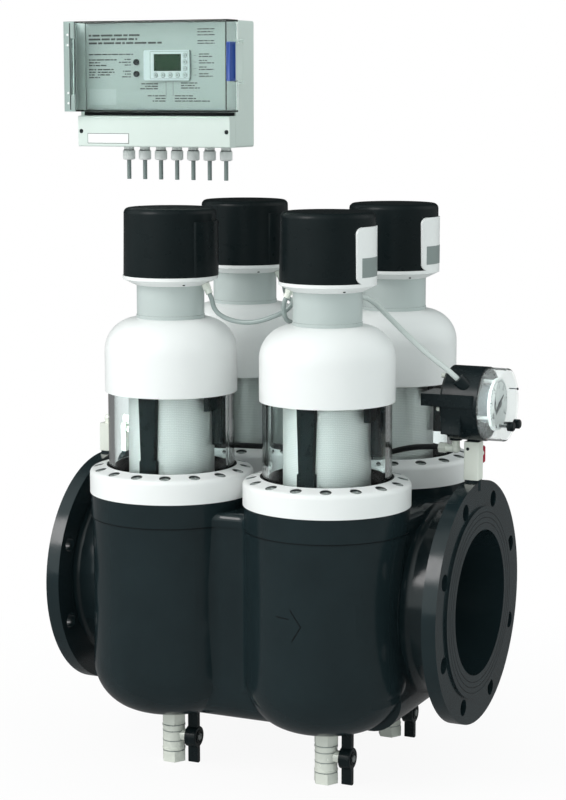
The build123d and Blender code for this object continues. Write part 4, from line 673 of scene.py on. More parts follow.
COVER_GLASS = ClearFinish(
    "cover moulding", "smoky_clear", (0.86, 0.885, 0.875), 0.02, drift_scale=20.0, grain=0.000002
)
RAIL_GLASS = ClearFinish(
    "hinge moulding", "smoky_clear", tone("b4c4c0"), 0.2, drift_scale=20.0, grain=0.000002, clear=0.3
)
# Black rubber for the seals; the same black also paints the shadow in the gap under the box's cover
SEAL_AND_SHADOW_RUBBER = Finish("seal and shadow rubber", "black_rubber", (0.012, 0.014, 0.015), 0.6, specular=0.3, grain=0.00003)
CAP_MOULD = Finish(
    "cap moulding", "black_gloss", (0.0070, 0.0115, 0.0125), 0.3, specular=0.14, drift=0.1, grain=0.0000004
)
BLACK_MOULD = Finish(
    "black moulding", "black_plastic", (0.0090, 0.0150, 0.0168), 0.26, specular=0.22, drift=0.1,
    grain=0.0000015
)
SHAFT_STEEL = TurnedFinish(
    "turned steel", "shaft_steel", (0.60, 0.62, 0.61), 0.32, metallic=1.0, grain=0.000004
)
NICKEL = TurnedFinish(
    "nickel plate", "nickel_brass", (0.94, 0.975, 0.89), 0.26, metallic=0.15, drift=0.015,
    gloss_drift=0.015, grain=0.000001
)
SCREW_STEEL = TurnedFinish(
    "screw steel", "shaft_steel", (0.36, 0.40, 0.39), 0.3, metallic=0.5, grain=0.000003
)
# Near black, standing for the shadow inside the clamp screws' holes: painted shade
HOLE_SHADE_COAT = Finish("painted hole shade", "shaft_steel", (0.035, 0.042, 0.042), 0.4, metallic=0.3)
RED_COAT = Finish("dipped red coat", "red_lever", (0.52, 0.012, 0.05), 0.35)
LATCH_MOULD = Finish("latch moulding", "blue_latch", tone("2c4f9e"), 0.35)
CASE_MOULD = Finish("case moulding", "light_grey_box", tone("d6e2dc"), 0.5, drift=0.02, grain=0.00004)
FACEPLATE = Finish("faceplate film", "light_grey_box", tone("808c89"), 0.45, drift=0.02, grain=0.00002)
LABEL_FILM = Finish("label film", "white_plastic", tone("8a9593"), 0.4, drift=0.02, grain=0.00002)
DIAL_PRINT = Finish("dial plate", "dial_white", (0.60, 0.615, 0.61), 0.45, drift=0.01)
INK = Finish("printed ink", "pointer_black", (0.02, 0.024, 0.024), 0.6)
FAINT_INK = Finish("faint ink", "pointer_black", tone("3a4341"), 0.6)
POINTER_COAT = Finish("pointer coat", "pointer_black", tone("2e3537"), 0.4)
HOSE_RUBBER = Finish("hose rubber", "hose_black", (0.008, 0.010, 0.011), 0.35, drift=0.15, grain=0.00003)
CABLE_SHEATH = Finish("cable sheath", "cable_grey", tone("99a5a3"), 0.36, drift=0.05, grain=0.00002)
STUB_SHEATH = Finish("stub sheath", "cable_grey", tone("7f8c8a"), 0.36, drift=0.05, grain=0.00002)
PALE_SHEATH = Finish("pale sheath", "cable_pale", tone("d3dbd8"), 0.36, drift=0.04, grain=0.00002)
MOTOR_COAT = Finish("motor coat", "motor_grey", (0.20, 0.21, 0.21), 0.45)
DRUM_COAT = Finish("movement drum coat", "motor_grey", tone("59646a"), 0.38)
SCREEN_GLASS = ScreenFinish(
    "display glass", "black_plastic", (0.007, 0.022, 0.011), 0.25, specular=0.05, drift=0.35, grain=0.000002
)


@dataclass
class Studio:
    """Camera, lamps, backdrop light and floor."""

    camera_place: Point = (1.5292, -2.6736, 0.6989)
    camera_aim: Point = (0.2983, 0.0, 0.2653)
    lens: float = 93.65
    sensor: float = 36.0
    sight: float = 60.0
    key_place: Point = (-1.05, -2.3, 1.95)
    key_power: float = 48.0
    key_size: float = 1.7
    key_colour: Colour = (1.0, 0.965, 0.96)
    rim_place: Point = (2.3, 0.9, 1.5)
    rim_power: float = 6.0
    rim_size: float = 2.2
    soft_colour: Colour = (0.50, 0.545, 0.54)
    soft_range: tuple[float, float] = (0.72, 1.35)
    soft_key_start: float = -0.6
    soft_side: float = 0.62
    soft_side_start: float = -0.2
    sheen_colour: Colour = (0.94, 1.0, 0.99)
    sheen_low: float = 0.03
    sheen_key: float = 1.15
    sheen_key_start: float = 0.1
    sheen_side: float = 0.5
    sheen_side_start: float = 0.2
    glass_gain: float = 15.0
    glass_loss: float = 0.93
    glass_run: Point = (-0.25, -0.95, 0.3)
    glass_start: float = 0.25
    key_run: Point = (-0.5, -0.8, 0.45)
    side_run: Point = (0.95, 0.25, 0.1)
    floor_drop: float = 0.4 * MM
    floor_half: float = 14.0
    floor_tone: Colour = (0.9, 0.9, 0.9)
    floor_roughness: float = 0.8
    floor_specular: float = 0.1
    floor_sheen: float = 0.2
    shadow_share: float = 0.07
    fade_start: float = 0.3
    fade_end: float = 0.9

    def aim(self, name: str, data: bpy.types.ID, place: Point) -> Piece:
        """Put a camera or a lamp at its place and turn it to the object.

        Args:
            name: Its name.
            data: The camera or the lamp.
            place: Where it stands.

        Returns:
            The placed camera or lamp.
        """
        thing = bpy.data.objects.new(name, data)
        bpy.context.scene.collection.objects.link(thing)
        thing.location = place
        run = Vector(self.camera_aim) - Vector(place)
        thing.rotation_euler = run.to_track_quat("-Z", "Y").to_euler()
        return thing

    def place_camera(self) -> None:
        """Put the camera where the picture was taken from."""
        data = bpy.data.cameras.new("camera")
        data.lens = self.lens
        data.sensor_width = self.sensor
        data.clip_end = self.sight
        bpy.context.scene.camera = self.aim("camera", data, self.camera_place)

    def place_lamp(self, name: str, place: Point, power: float, size: float) -> None:
        """Hang a soft round lamp that looks at the object.

        Args:
            name: The lamp's name.
            place: Where it hangs.
            power: Its power in watts.
            size: Its diameter.
        """
        data = bpy.data.lights.new(name, "AREA")
        data.shape = "DISK"
        data.energy = power
        data.size = size
        data.color = self.key_colour
        self.aim(name, data, place)

    def light_room(self) -> None:
        """Make the room white where it is seen, and a soft studio where it lights or gleams."""
        world = bpy.data.worlds.new("room")
        bpy.context.scene.world = world
        world.use_nodes = True
        world.node_tree.nodes.clear()
        room = Wiring(world.node_tree)
        run = room.add("ShaderNodeTexCoord").outputs["Generated"]
        path = room.add("ShaderNodeLightPath").outputs
        through = room.maths("MINIMUM", path["Transmission Depth"], 1.0)
        gain = room.maths("MULTIPLY", through, self.glass_gain)
        beam = room.maths("MULTIPLY", room.along(run, self.glass_run, self.glass_start), gain)
        kept = room.maths("SUBTRACT", 1.0, room.maths("MULTIPLY", through, self.glass_loss))
        towards_key = room.along(run, self.key_run, self.soft_key_start)
        towards_side = room.along(run, self.side_run, self.soft_side_start)
        side = room.maths("MULTIPLY", towards_side, self.soft_side)
        even = room.maths("ADD", room.spread(towards_key, *self.soft_range, 0, 1), side)
        soft = room.maths("ADD", room.maths("MULTIPLY", even, kept), beam)
        key_lean = room.along(run, self.key_run, self.sheen_key_start)
        side_lean = room.along(run, self.side_run, self.sheen_side_start)
        key_sheen = room.maths("MULTIPLY", key_lean, self.sheen_key)
        side_sheen = room.maths("MULTIPLY", side_lean, self.sheen_side)
        sheen = room.maths("ADD", room.maths("ADD", key_sheen, side_sheen), self.sheen_low)
        lit = {"Color": (*self.soft_colour, 1), "Strength": soft}
        lights = room.add("ShaderNodeBackground", lit).outputs[0]
        mirrored_room = {"Color": (*self.sheen_colour, 1), "Strength": sheen}
        gleams = room.add("ShaderNodeBackground", mirrored_room).outputs[0]
        shows = room.add("ShaderNodeBackground", {"Color": WHITE}).outputs[0]
        glossy = room.maths("MINIMUM", path["Glossy Depth"], 1.0)
        dim = room.add("ShaderNodeMixShader", {0: glossy, 1: lights, 2: gleams}).outputs[0]
        whole = room.add("ShaderNodeMixShader", {0: room.seen(), 1: dim, 2: shows}).outputs[0]
        room.add("ShaderNodeOutputWorld", {"Surface": whole})

    def lay_floor(self) -> None:
        """Lay a pale floor that keeps the object's shadow and fades into the backdrop."""
        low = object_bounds()[0]
        middle = Vector((self.camera_aim[0], 0, low[2] - self.floor_drop))
        side = 2 * self.floor_half
        floor = Bench.sheet("floor", middle, side, side, Facing.UP, columns=2, rows=2)
        sheet = NodeSheet("floor paint")
        sheet.use(
            Base_Color=(*self.floor_tone, 1),
            Roughness=self.floor_roughness,
            Specular_IOR_Level=self.floor_specular,
        )
        away = sheet.add("ShaderNodeVectorMath", {0: sheet.place, 1: middle}, operation="DISTANCE")
        distance = away.outputs["Value"]
        fade = sheet.spread(distance, 1 - self.shadow_share, 1, self.fade_start, self.fade_end)
        glow = sheet.add("ShaderNodeEmission", {"Color": WHITE, "Strength": 1.0}).outputs[0]
        share = sheet.maths("MULTIPLY", sheet.seen(), fade)
        shown = sheet.add("ShaderNodeMixShader", {0: share, 1: sheet.shader.outputs[0], 2: glow}).outputs[0]
        dim = sheet.add("ShaderNodeEmission", {"Color": WHITE, "Strength": self.floor_sheen}).outputs[0]
        glossy = sheet.maths("MINIMUM", sheet.add("ShaderNodeLightPath").outputs["Glossy Depth"], 1.0)
        mix = sheet.add("ShaderNodeMixShader", {0: glossy, 1: shown, 2: dim}).outputs[0]
        sheet.tree.links.new(mix, sheet.tree.nodes["Material Output"].inputs["Surface"])
        floor.data.materials.append(sheet.material)
        floor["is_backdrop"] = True

    def build(self) -> None:
        """Set up the whole studio."""
        bpy.context.scene.view_settings.view_transform = "Standard"
        self.place_camera()
        self.place_lamp("key lamp", self.key_place, self.key_power, self.key_size)
        self.place_lamp("rim lamp", self.rim_place, self.rim_power, self.rim_size)
        self.light_room()
        self.lay_floor()
        log.info("studio is lit")


@dataclass(frozen=True)
class Cord:
    """A cable or hose: its route's control points in millimetres, and what it is."""

    name: str
    node: str
    route: tuple[Point, ...]
    diameter: float
    length: float
    finish: Finish
    far_end: str = "object"
    stiffness: str = "medium"
    lay: str = "hanging"
    order: int = 3
    steps_round: int = 5
    steps_along: int = 10

    def build(self) -> None:
        data = bpy.data.curves.new(self.name, "CURVE")
        data.dimensions = "3D"
        data.bevel_depth = self.diameter * MM / 2
        data.bevel_resolution = self.steps_round
        data.resolution_u = self.steps_along
        data.use_fill_caps = True
        spline = data.splines.new("NURBS")
        spline.points.add(len(self.route) - 1)
        for point, place in zip(spline.points, self.route):
            point.co = (*at(*place), 1)
        spline.order_u = self.order
        spline.use_endpoint_u = True
        piece = bpy.data.objects.new(self.name, data)
        bpy.context.scene.collection.objects.link(piece)
        self.finish.dress(piece)
        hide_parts(self.node)


def mirrored(route: Sequence[Point]) -> tuple[Point, ...]:
    """Give a route's mirror image across the pipe's upright middle plane."""
    return tuple((x, -y, z) for x, y, z in route)


@dataclass
class Cabling:
    """The impulse hose, the cables between the heads, the gauge cable and the cut cable ends."""

    hose_route: tuple[Point, ...] = (
        (37.3, 0, 221),
        (62, 0, 220),
        (95, 1, 209),
        (140, 1.5, 198),
        (195, 0, 194),
        (250, -1.5, 195.5),
        (305, -0.5, 197.5),
        (360, 1, 196.5),
        (415, 1.5, 195.5),
        (455, 1, 199),
        (485, 0, 208.5),
        (512, 0, 213.5),
        (536.7, 0, 214),
    )
    front_route: tuple[Point, ...] = (
        (241.73, -119, 425.73),
        (245.2, -119, 418.6),
        (246.7, -118.6, 409.6),
        (250.2, -118, 402.9),
        (255.8, -117.3, 397.5),
        (266, -116.4, 392.2),
        (283, -115.4, 388.2),
        (303, -114, 388),
        (320, -112, 391.8),
        (335, -108, 397.7),
        (346.5, -102, 403.2),
        (353.9, -98.6, 410.2),
        (358.2, -97.1, 417.65),
        (361.93, -98.45, 425.73),
    )
    cross_half: tuple[Point, ...] = (
        (358.27, -119, 425.73),
        (354.7, -119, 418.5),
        (353.5, -118.2, 410.7),
        (352.9, -115.2, 403.3),
        (352.3, -110.2, 397.1),
        (351.8, -102.7, 392.1),
        (351, -83.8, 387),
        (350.5, -54, 379.5),
        (350.2, -20, 374.5),
    )
    gauge_route: tuple[Point, ...] = (
        (437.57, -67.97, 425),
        (440.6, -59.9, 425),
        (445.6, -52.9, 423.1),
        (452, -47.8, 419.4),
        (459.6, -45.3, 413.8),
        (473, -46.3, 402.4),
        (497, -48.8, 382),
        (524, -50.2, 359.6),
        (545, -49.9, 343.9),
        (563.5, -47.9, 330.7),
        (572.2, -45.5, 322.8),
        (577.85, -42.5, 316.9),
    )
    end_count: int = 7
    end_first_x: float = 42.0
    end_step: float = 26.4
    end_y: float = 18.0
    end_top: float = 612.7
    end_bottom: float = 575.0
    end_diameter: float = 6.2
    end_parts: int = 3

    def cords(self) -> list[Cord]:
        """List every cord."""
        cross = (*self.cross_half, *reversed(mirrored(self.cross_half)))
        found = [
            Cord("impulse_hose", "hose", self.hose_route, 8.0, 504.1, HOSE_RUBBER, stiffness="stiff"),
            Cord("front_head_cable", "front_cable", self.front_route, 6.6, 157.3, CABLE_SHEATH),
            Cord("back_head_cable", "back_cable", mirrored(self.front_route), 6.6, 157.3, CABLE_SHEATH),
            Cord("cross_head_cable", "cross_cable", cross, 6.6, 290.5, CABLE_SHEATH),
            Cord("gauge_signal_cable", "gauge_cable", self.gauge_route, 7.4, 189.7, PALE_SHEATH, lay="taut"),
        ]
        drop = self.end_bottom - self.end_top
        heights = [self.end_top + drop * part / self.end_parts for part in range(self.end_parts + 1)]
        for number in range(self.end_count):
            name = f"cable_end_{number + 1}"
            x = self.end_first_x + self.end_step * number
            route = tuple((x, self.end_y, height) for height in heights)
            found.append(
                Cord(name, "cable_ends", route, self.end_diameter, -drop, STUB_SHEATH, far_end="bare")
            )
        return found

    def build(self) -> None:
        """Draw every cord."""
        for cord in self.cords():
            cord.build()
        log.info("cables and hose are drawn")


@dataclass
class ScrewKit:
    """Small screws, each modelled once at the origin and then copied to its places.

    Widths are shares of a head's radius, and depths are shares of its height.
    """

    socket_width: float = 0.56
    socket_depth: float = 1.6
    socket_edge: float = 0.09
    slot_reach: float = 1.2
    slot_half: float = 0.14
    slot_floor: float = 0.55
    slot_top: float = 1.5
    crown_rim: float = 0.12
    crown_rise: float = 0.15
    edge: float = 0.08

    def socket_screw(self, name: str, radius: float, height: float) -> Piece:
        """Model a cap screw with a hexagon socket, its top face at the origin.

        Args:
            name: The piece's name.
            radius: Radius of its head.
            height: Height of its head.

        Returns:
            The screw.
        """
        screw = Bench.cylinder(name, Vector((0, 0, -height / 2)), radius, height, sides=28)
        width, depth = radius * self.socket_width, height * self.socket_depth
        Bench.cut(screw, Bench.cylinder("socket cutter", Vector(), width, depth, sides=6))
        Bench.soften(screw, radius * self.socket_edge)
        return screw

    def slotted_screw(self, name: str, radius: float, height: float) -> Piece:
        """Model a flat screw with a slot across it, its foot at the origin."""
        screw = Bench.cylinder(name, Vector((0, 0, height / 2)), radius, height, sides=24)
        reach, half = radius * self.slot_reach, radius * self.slot_half
        low = Vector((-reach, -half, height * self.slot_floor))
        high = Vector((reach, half, height * self.slot_top))
        Bench.cut(screw, Bench.block("slot cutter", low, high))
        Bench.soften(screw, radius * self.edge)
        return screw

    def hexagon_screw(self, name: str, radius: float, height: float) -> Piece:
        """Model a hexagon head with a rounded crown, its foot at the origin."""
        screw = Bench.cylinder(name, Vector((0, 0, height / 2)), radius, height, sides=6)
        Bench.sink(screw, towards(z=1), radius * self.crown_rim, -height * self.crown_rise)
        Bench.soften(screw, radius * self.edge)
        return screw


@dataclass
class CastBody:
    """The cast housing: its enamel, the sealing grooves of its faces and the cast flow arrow, drawn as
    painted shade lines.
    """

    face_to_face: float = 600 * MM
    groove_radii: tuple[float, ...] = (111 * MM, 118.5 * MM, 126 * MM)
    groove_width: float = 0.7 * MM
    groove_proud: float = 0.08 * MM
    seam_radius: float = 113.75 * MM
    seam_depth: float = 1.5 * MM
    seam_z: float = 112.6 * MM
    seam_height: float = 0.9 * MM
    arrow_front: float = -260 * MM
    arrow_wall: float = 0.3 * MM
    arrow_stroke: float = 1.3 * MM
    # Only the arrow's shaded edges, drawn dark as painted shade; its lit edges are left out
    arrow_strokes: tuple[tuple[float, float, float, float], ...] = (
        (394, 10.2, 411.5, 9.2),
        (414.5, 21.3, 429.5, -0.3),
        (429.5, -0.3, 417, -20.6),
    )

    def build_grooves(self) -> None:
        """Draw the turned grooves on both sealing faces."""
        for end, x in (("inlet", 0.0), ("outlet", self.face_to_face)):
            centre = Vector((x, 0, 0))
            rings = []
            for radius in self.groove_radii:
                inner = radius - self.groove_width / 2
                outer = radius + self.groove_width / 2
                depth = 2 * self.groove_proud
                rings.append(Bench.ring("groove", centre, inner, outer, depth, Facing.RIGHT, sides=128))
            FACE_AND_SHADE_COAT.dress(Bench.join(f"{end}_face_grooves", rings))

    def build_seams(self, centres: Sequence[tuple[float, float]]) -> None:
        """Draw the thin seam below the band of every bowl."""
        outer, height = self.seam_radius, self.seam_height
        inner = outer - self.seam_depth
        for number, (x, y) in enumerate(centres, start=1):
            centre = Vector((x, y, self.seam_z))
            FACE_AND_SHADE_COAT.dress(Bench.ring(f"bowl_seam_{number}", centre, inner, outer, height, sides=160))

    def build_arrow(self) -> None:
        """Draw the flow arrow on the front right bowl as three thin, slightly raised dark strokes: painted
        shade along its shaded edges, with its lit edges left out.
        """
        strokes = []
        for start_x, start_z, end_x, end_z in self.arrow_strokes:
            start, end = at(start_x, 0, start_z), at(end_x, 0, end_z)
            run = end - start
            width = self.arrow_stroke
            length = run.length + width
            stroke = Bench.sheet("stroke", Vector(), length, width, Facing.FRONT, columns=12, rows=2)
            middle = (start + end) / 2 + Vector((0, self.arrow_front, 0))
            stroke.matrix_world = Matrix.Translation(middle) @ Matrix.Rotation(-atan2(run.z, run.x), 4, "Y")
            Bench.only(stroke)
            stroke = Bench.take("stroke")
            Bench.lay_on(stroke, "housing", "y", self.arrow_wall)
            strokes.append(stroke)
        FACE_AND_SHADE_COAT.dress(Bench.join("flow_arrow_shade_lines", strokes))

    def build(self, centres: Sequence[tuple[float, float]]) -> None:
        """Dress the casting and add its details."""
        CAST_COAT.coat("housing")
        self.build_seams(centres)
        self.build_grooves()
        self.build_arrow()
        log.info("cast body is dressed")


@dataclass
class FilterUnits:
    """The four filter units: rings with their screws, glass, bells, heads, sieves and drain valves."""

    centres: dict[str, tuple[float, float]] = field(
        default_factory=lambda: {
            "front_left": (181 * MM, -119 * MM),
            "front_right": (419 * MM, -119 * MM),
            "back_left": (181 * MM, 119 * MM),
            "back_right": (419 * MM, 119 * MM),
        }
    )
    screw_count: int = 16
    screw_circle: float = 103 * MM
    screw_radius: float = 6.4 * MM
    screw_height: float = 12 * MM
    screw_top: float = 180.2 * MM
    screw_spin: float = 2.3
    # The dark sleeve and floor in each clamp screw's hole are painted shade
    sleeve_gap: float = 0.4 * MM
    sleeve_outer: float = 7.9 * MM
    sleeve_height: float = 14 * MM
    sleeve_top: float = 180.7 * MM
    ring_slope: float = 15.0
    plug_share: float = 0.55
    plug_height: float = 1 * MM
    plug_z: float = 177.6 * MM
    rail_box: Box = ((63, -7, 216), (77.5, 7, 300))
    rail_head_box: Box = ((61.8, -34, 266), (70, 12, 300))
    rail_stem_box: Box = ((62.5, -8, 299), (71, 8, 316))
    guide_angle: float = 4.0
    label_width: float = 52 * MM
    label_height: float = 26 * MM
    label_middle: float = 471 * MM
    label_wall: float = 0.25 * MM
    panel_reach: float = 74 * MM
    labelled: tuple[str, ...] = ("front_right", "back_right")
    blinded: tuple[str, ...] = ("front_left", "back_left")
    blind_low: float = 450.2 * MM
    blind_high: float = 526 * MM
    blind_half: float = 34.8 * MM
    blind_inner: float = 64.5 * MM
    blind_radius: float = 67.0 * MM
    blind_reach: float = 90 * MM
    bead_heights: tuple[float, ...] = (-193.4 * MM, -202.5 * MM, -216.5 * MM, -231.4 * MM)
    bead_radius: float = 16.15 * MM
    bead_wall: float = 1 * MM
    bead_height: float = 1.1 * MM
    hub_end: float = 40.6 * MM
    hub_radius: float = 9.5 * MM
    hub_cap: float = 1.6 * MM
    hub_screw_radius: float = 5.4 * MM
    hub_screw_lift: float = 0.2 * MM
    stem_z: float = -209 * MM
    neck_radius: float = 47.0 * MM
    neck_line_z: float = 395.5 * MM
    neck_line_height: float = 0.7 * MM
    neck_line_proud: float = 0.25 * MM
    neck_line_depth: float = 0.5 * MM
    mark_circle: float = 55 * MM
    mark_height: float = 440.2 * MM
    mark_angle: float = -43.0
    mark_radius: float = 1.7 * MM
    mark_head: float = 1.4 * MM

    def ring_clamps(self, first: Piece, name: str, finish: Finish, height: float, spin: float) -> None:
        """Copy a small part to every clamp screw's place, and that ring to every unit.

        Args:
            first: The part, modelled once; it is used up.
            name: How the rings' names start.
            finish: What the rings are dressed in.
            height: How far up the part goes.
            spin: How often a part turns on itself on the way round.
        """
        ring = []
        for number in range(self.screw_count):
            turn = 2 * pi * number / self.screw_count
            place = Vector((self.screw_circle * cos(turn), self.screw_circle * sin(turn), height))
            turned = Matrix.Translation(place) @ Matrix.Rotation(turn * spin, 4, "Z")
            ring.append(Bench.copy(first, "part", turned))
        bpy.data.objects.remove(first)
        master = Bench.join("ring", ring)
        for unit, (x, y) in self.centres.items():
            finish.dress(Bench.copy(master, f"{name}_{unit}", Matrix.Translation((x, y, 0))))
        bpy.data.objects.remove(master)

    def build_screws(self, kit: ScrewKit) -> None:
        """Put a ring of cap screws into every clamp ring."""
        first = kit.socket_screw("clamp screw", self.screw_radius, self.screw_height)
        self.ring_clamps(first, "clamp_screws", SCREW_STEEL, self.screw_top, self.screw_spin)

    def build_labels(self) -> None:
        """Press a blank label onto the panels of the heads on the outlet's side."""
        for unit in self.labelled:
            x, y = self.centres[unit]
            centre = Vector((x + self.panel_reach, y, self.label_middle))
            label = Bench.sheet(
                f"head_label_{unit}",
                centre,
                self.label_width,
                self.label_height,
                Facing.RIGHT,
                columns=24,
                rows=2,
            )
            Bench.lay_on(label, "head_panels", "x", self.label_wall)
            Bench.soften(label, self.label_wall / 2, 1)
            LABEL_FILM.dress(label)

    def build_blinds(self) -> None:
        """Clip a black blind over the panels of the heads on the inlet's side."""
        low, high, half, reach = self.blind_low, self.blind_high, self.blind_half, self.blind_reach
        offcuts = (
            ((-reach, -reach, -reach), (0, reach, reach)),
            ((-reach, half, -reach), (reach, reach, reach)),
            ((-reach, -reach, -reach), (reach, -half, reach)),
        )
        for unit in self.blinded:
            x, y = self.centres[unit]
            centre = Vector((x, y, (low + high) / 2))
            blind = Bench.ring(
                f"head_blind_{unit}", centre, self.blind_inner, self.blind_radius, high - low, sides=160
            )
            for near, far in offcuts:
                Bench.cut(blind, Bench.block("blind cutter", centre + Vector(near), centre + Vector(far)))
            Bench.soften(blind, width=0.2 * MM, segments=1)
            CAP_MOULD.dress(blind)

    def build_washers(self) -> None:
        """Line every clamp screw's hole with a dark sleeve and its socket with a dark floor: painted shade
        standing for the shadow in the hole and the socket.
        """
        middle = Vector((0, 0, self.sleeve_top - self.sleeve_height / 2))
        inner = self.screw_radius + self.sleeve_gap
        wall_shade = Bench.ring("wall_shade", middle, inner, self.sleeve_outer, self.sleeve_height, sides=28)
        Bench.pick(wall_shade, Picked.FACES, towards(z=1))
        bpy.ops.transform.rotate(
            value=-radians(self.ring_slope), orient_axis="Y", center_override=(0, 0, self.sleeve_top)
        )
        Bench.clear()
        width = self.screw_radius * self.plug_share
        floor_shade = Bench.cylinder("floor_shade", Vector((0, 0, self.plug_z)), width, self.plug_height, sides=6)
        self.ring_clamps(Bench.join("hole_shade_part", [wall_shade, floor_shade]), "clamp_hole_shade", HOLE_SHADE_COAT, 0, 1)

    def build_guides(self) -> None:
        """Hang the black guide of the suction carriage beside every sieve."""
        rail = Bench.box("rail", self.rail_box)
        Bench.sink(rail, towards(y=-1), margin=3 * MM, depth=1 * MM)
        parts = [rail, Bench.box("head", self.rail_head_box), Bench.box("stem", self.rail_stem_box)]
        for part in parts:
            Bench.soften(part, width=0.8 * MM)
        first = Bench.join("guide", parts)
        for unit, (x, y) in self.centres.items():
            place = Matrix.Translation((x, y, 0)) @ Matrix.Rotation(radians(self.guide_angle), 4, "Z")
            CAP_MOULD.dress(Bench.copy(first, f"carriage_guide_{unit}", place))
        bpy.data.objects.remove(first)

    def build_neck_lines(self) -> None:
        """Lay a thin dark seal round the foot of every neck."""
        inner = self.neck_radius - self.neck_line_depth
        outer = self.neck_radius + self.neck_line_proud
        for unit, (x, y) in self.centres.items():
            centre = Vector((x, y, self.neck_line_z))
            line = Bench.ring(f"neck_seal_{unit}", centre, inner, outer, self.neck_line_height, sides=96)
            SEAL_AND_SHADOW_RUBBER.dress(line)

    def build_marks(self, kit: ScrewKit) -> None:
        """Put a small dark screw under each head."""
        turn = radians(self.mark_angle)
        reach_x, reach_y = self.mark_circle * cos(turn), self.mark_circle * sin(turn)
        first = kit.slotted_screw("base screw", self.mark_radius, self.mark_head)
        for unit, (x, y) in self.centres.items():
            place = Vector((x + reach_x, y + reach_y, self.mark_height))
            upended = Matrix.Translation(place) @ Matrix.Rotation(pi, 4, "X")
            BLACK_MOULD.dress(Bench.copy(first, f"base_screws_{unit}", upended))
        bpy.data.objects.remove(first)

    def build_valve_parts(self, kit: ScrewKit) -> None:
        """Seat the valves in dark rings and cap every handle's hub with a ring and a screw."""
        inner = self.bead_radius - self.bead_wall
        for unit, (x, y) in self.centres.items():
            beads = []
            for z in self.bead_heights:
                beads.append(
                    Bench.ring("bead", Vector((x, y, z)), inner, self.bead_radius, self.bead_height, sides=48)
                )
            SCREW_STEEL.dress(Bench.join(f"valve_grooves_{unit}", beads))
            centre = Vector((x + self.hub_end, y, self.stem_z))
            cap = Bench.cylinder(
                f"handle_cap_{unit}", centre, self.hub_radius, self.hub_cap, Facing.RIGHT, sides=48
            )
            Bench.sink(cap, towards(x=1), margin=1.6 * MM, depth=0.7 * MM)
            Bench.soften(cap, width=0.2 * MM)
            CAP_MOULD.dress(cap, body=f"drain_{unit}")
            screw = kit.hexagon_screw("hub screw", self.hub_screw_radius, self.hub_cap)
            lifted = centre + Vector((self.hub_screw_lift, 0, 0))
            placed = Bench.copy(screw, f"handle_screw_{unit}", Facing.RIGHT.turned(lifted))
            bpy.data.objects.remove(screw)
            MOTOR_COAT.dress(placed, body=f"drain_{unit}")

    def build(self, kit: ScrewKit) -> None:
        """Dress the units and add their small parts."""
        WHITE_MOULD.coat("clamp_rings", "bells", "head_bases", "head_panels")
        CLEAR_GLASS.coat("glass_cylinders")
        SEAL_AND_SHADOW_RUBBER.coat("glass_seals")
        CAP_MOULD.coat("suction_tubes")
        NECK_MOULD.coat("necks")
        CAP_MOULD.coat("head_caps")
        MOTOR_COAT.coat("gearmotors")
        NICKEL.coat("head_glands", "drain_valve_bodies")
        for unit, centre in self.centres.items():
            weave = SieveFinish(
                f"sieve screen {unit}", "sieve_steel", tone("eeeeec"), 0.36, metallic=0.6, drift=0.18,
                grain=0.0001, centre=centre,
            )
            weave.coat(f"sieve_{unit}")
            SHAFT_STEEL.coat(f"drive_shaft_{unit}")
            NICKEL.coat(f"drain_ball_{unit}")
            BLACK_MOULD.coat(f"drain_handle_{unit}")
        self.build_screws(kit)
        self.build_washers()
        self.build_guides()
        self.build_labels()
        self.build_blinds()
        self.build_neck_lines()
        self.build_valve_parts(kit)
        self.build_marks(kit)
        log.info("%d filter units are dressed", len(self.centres))


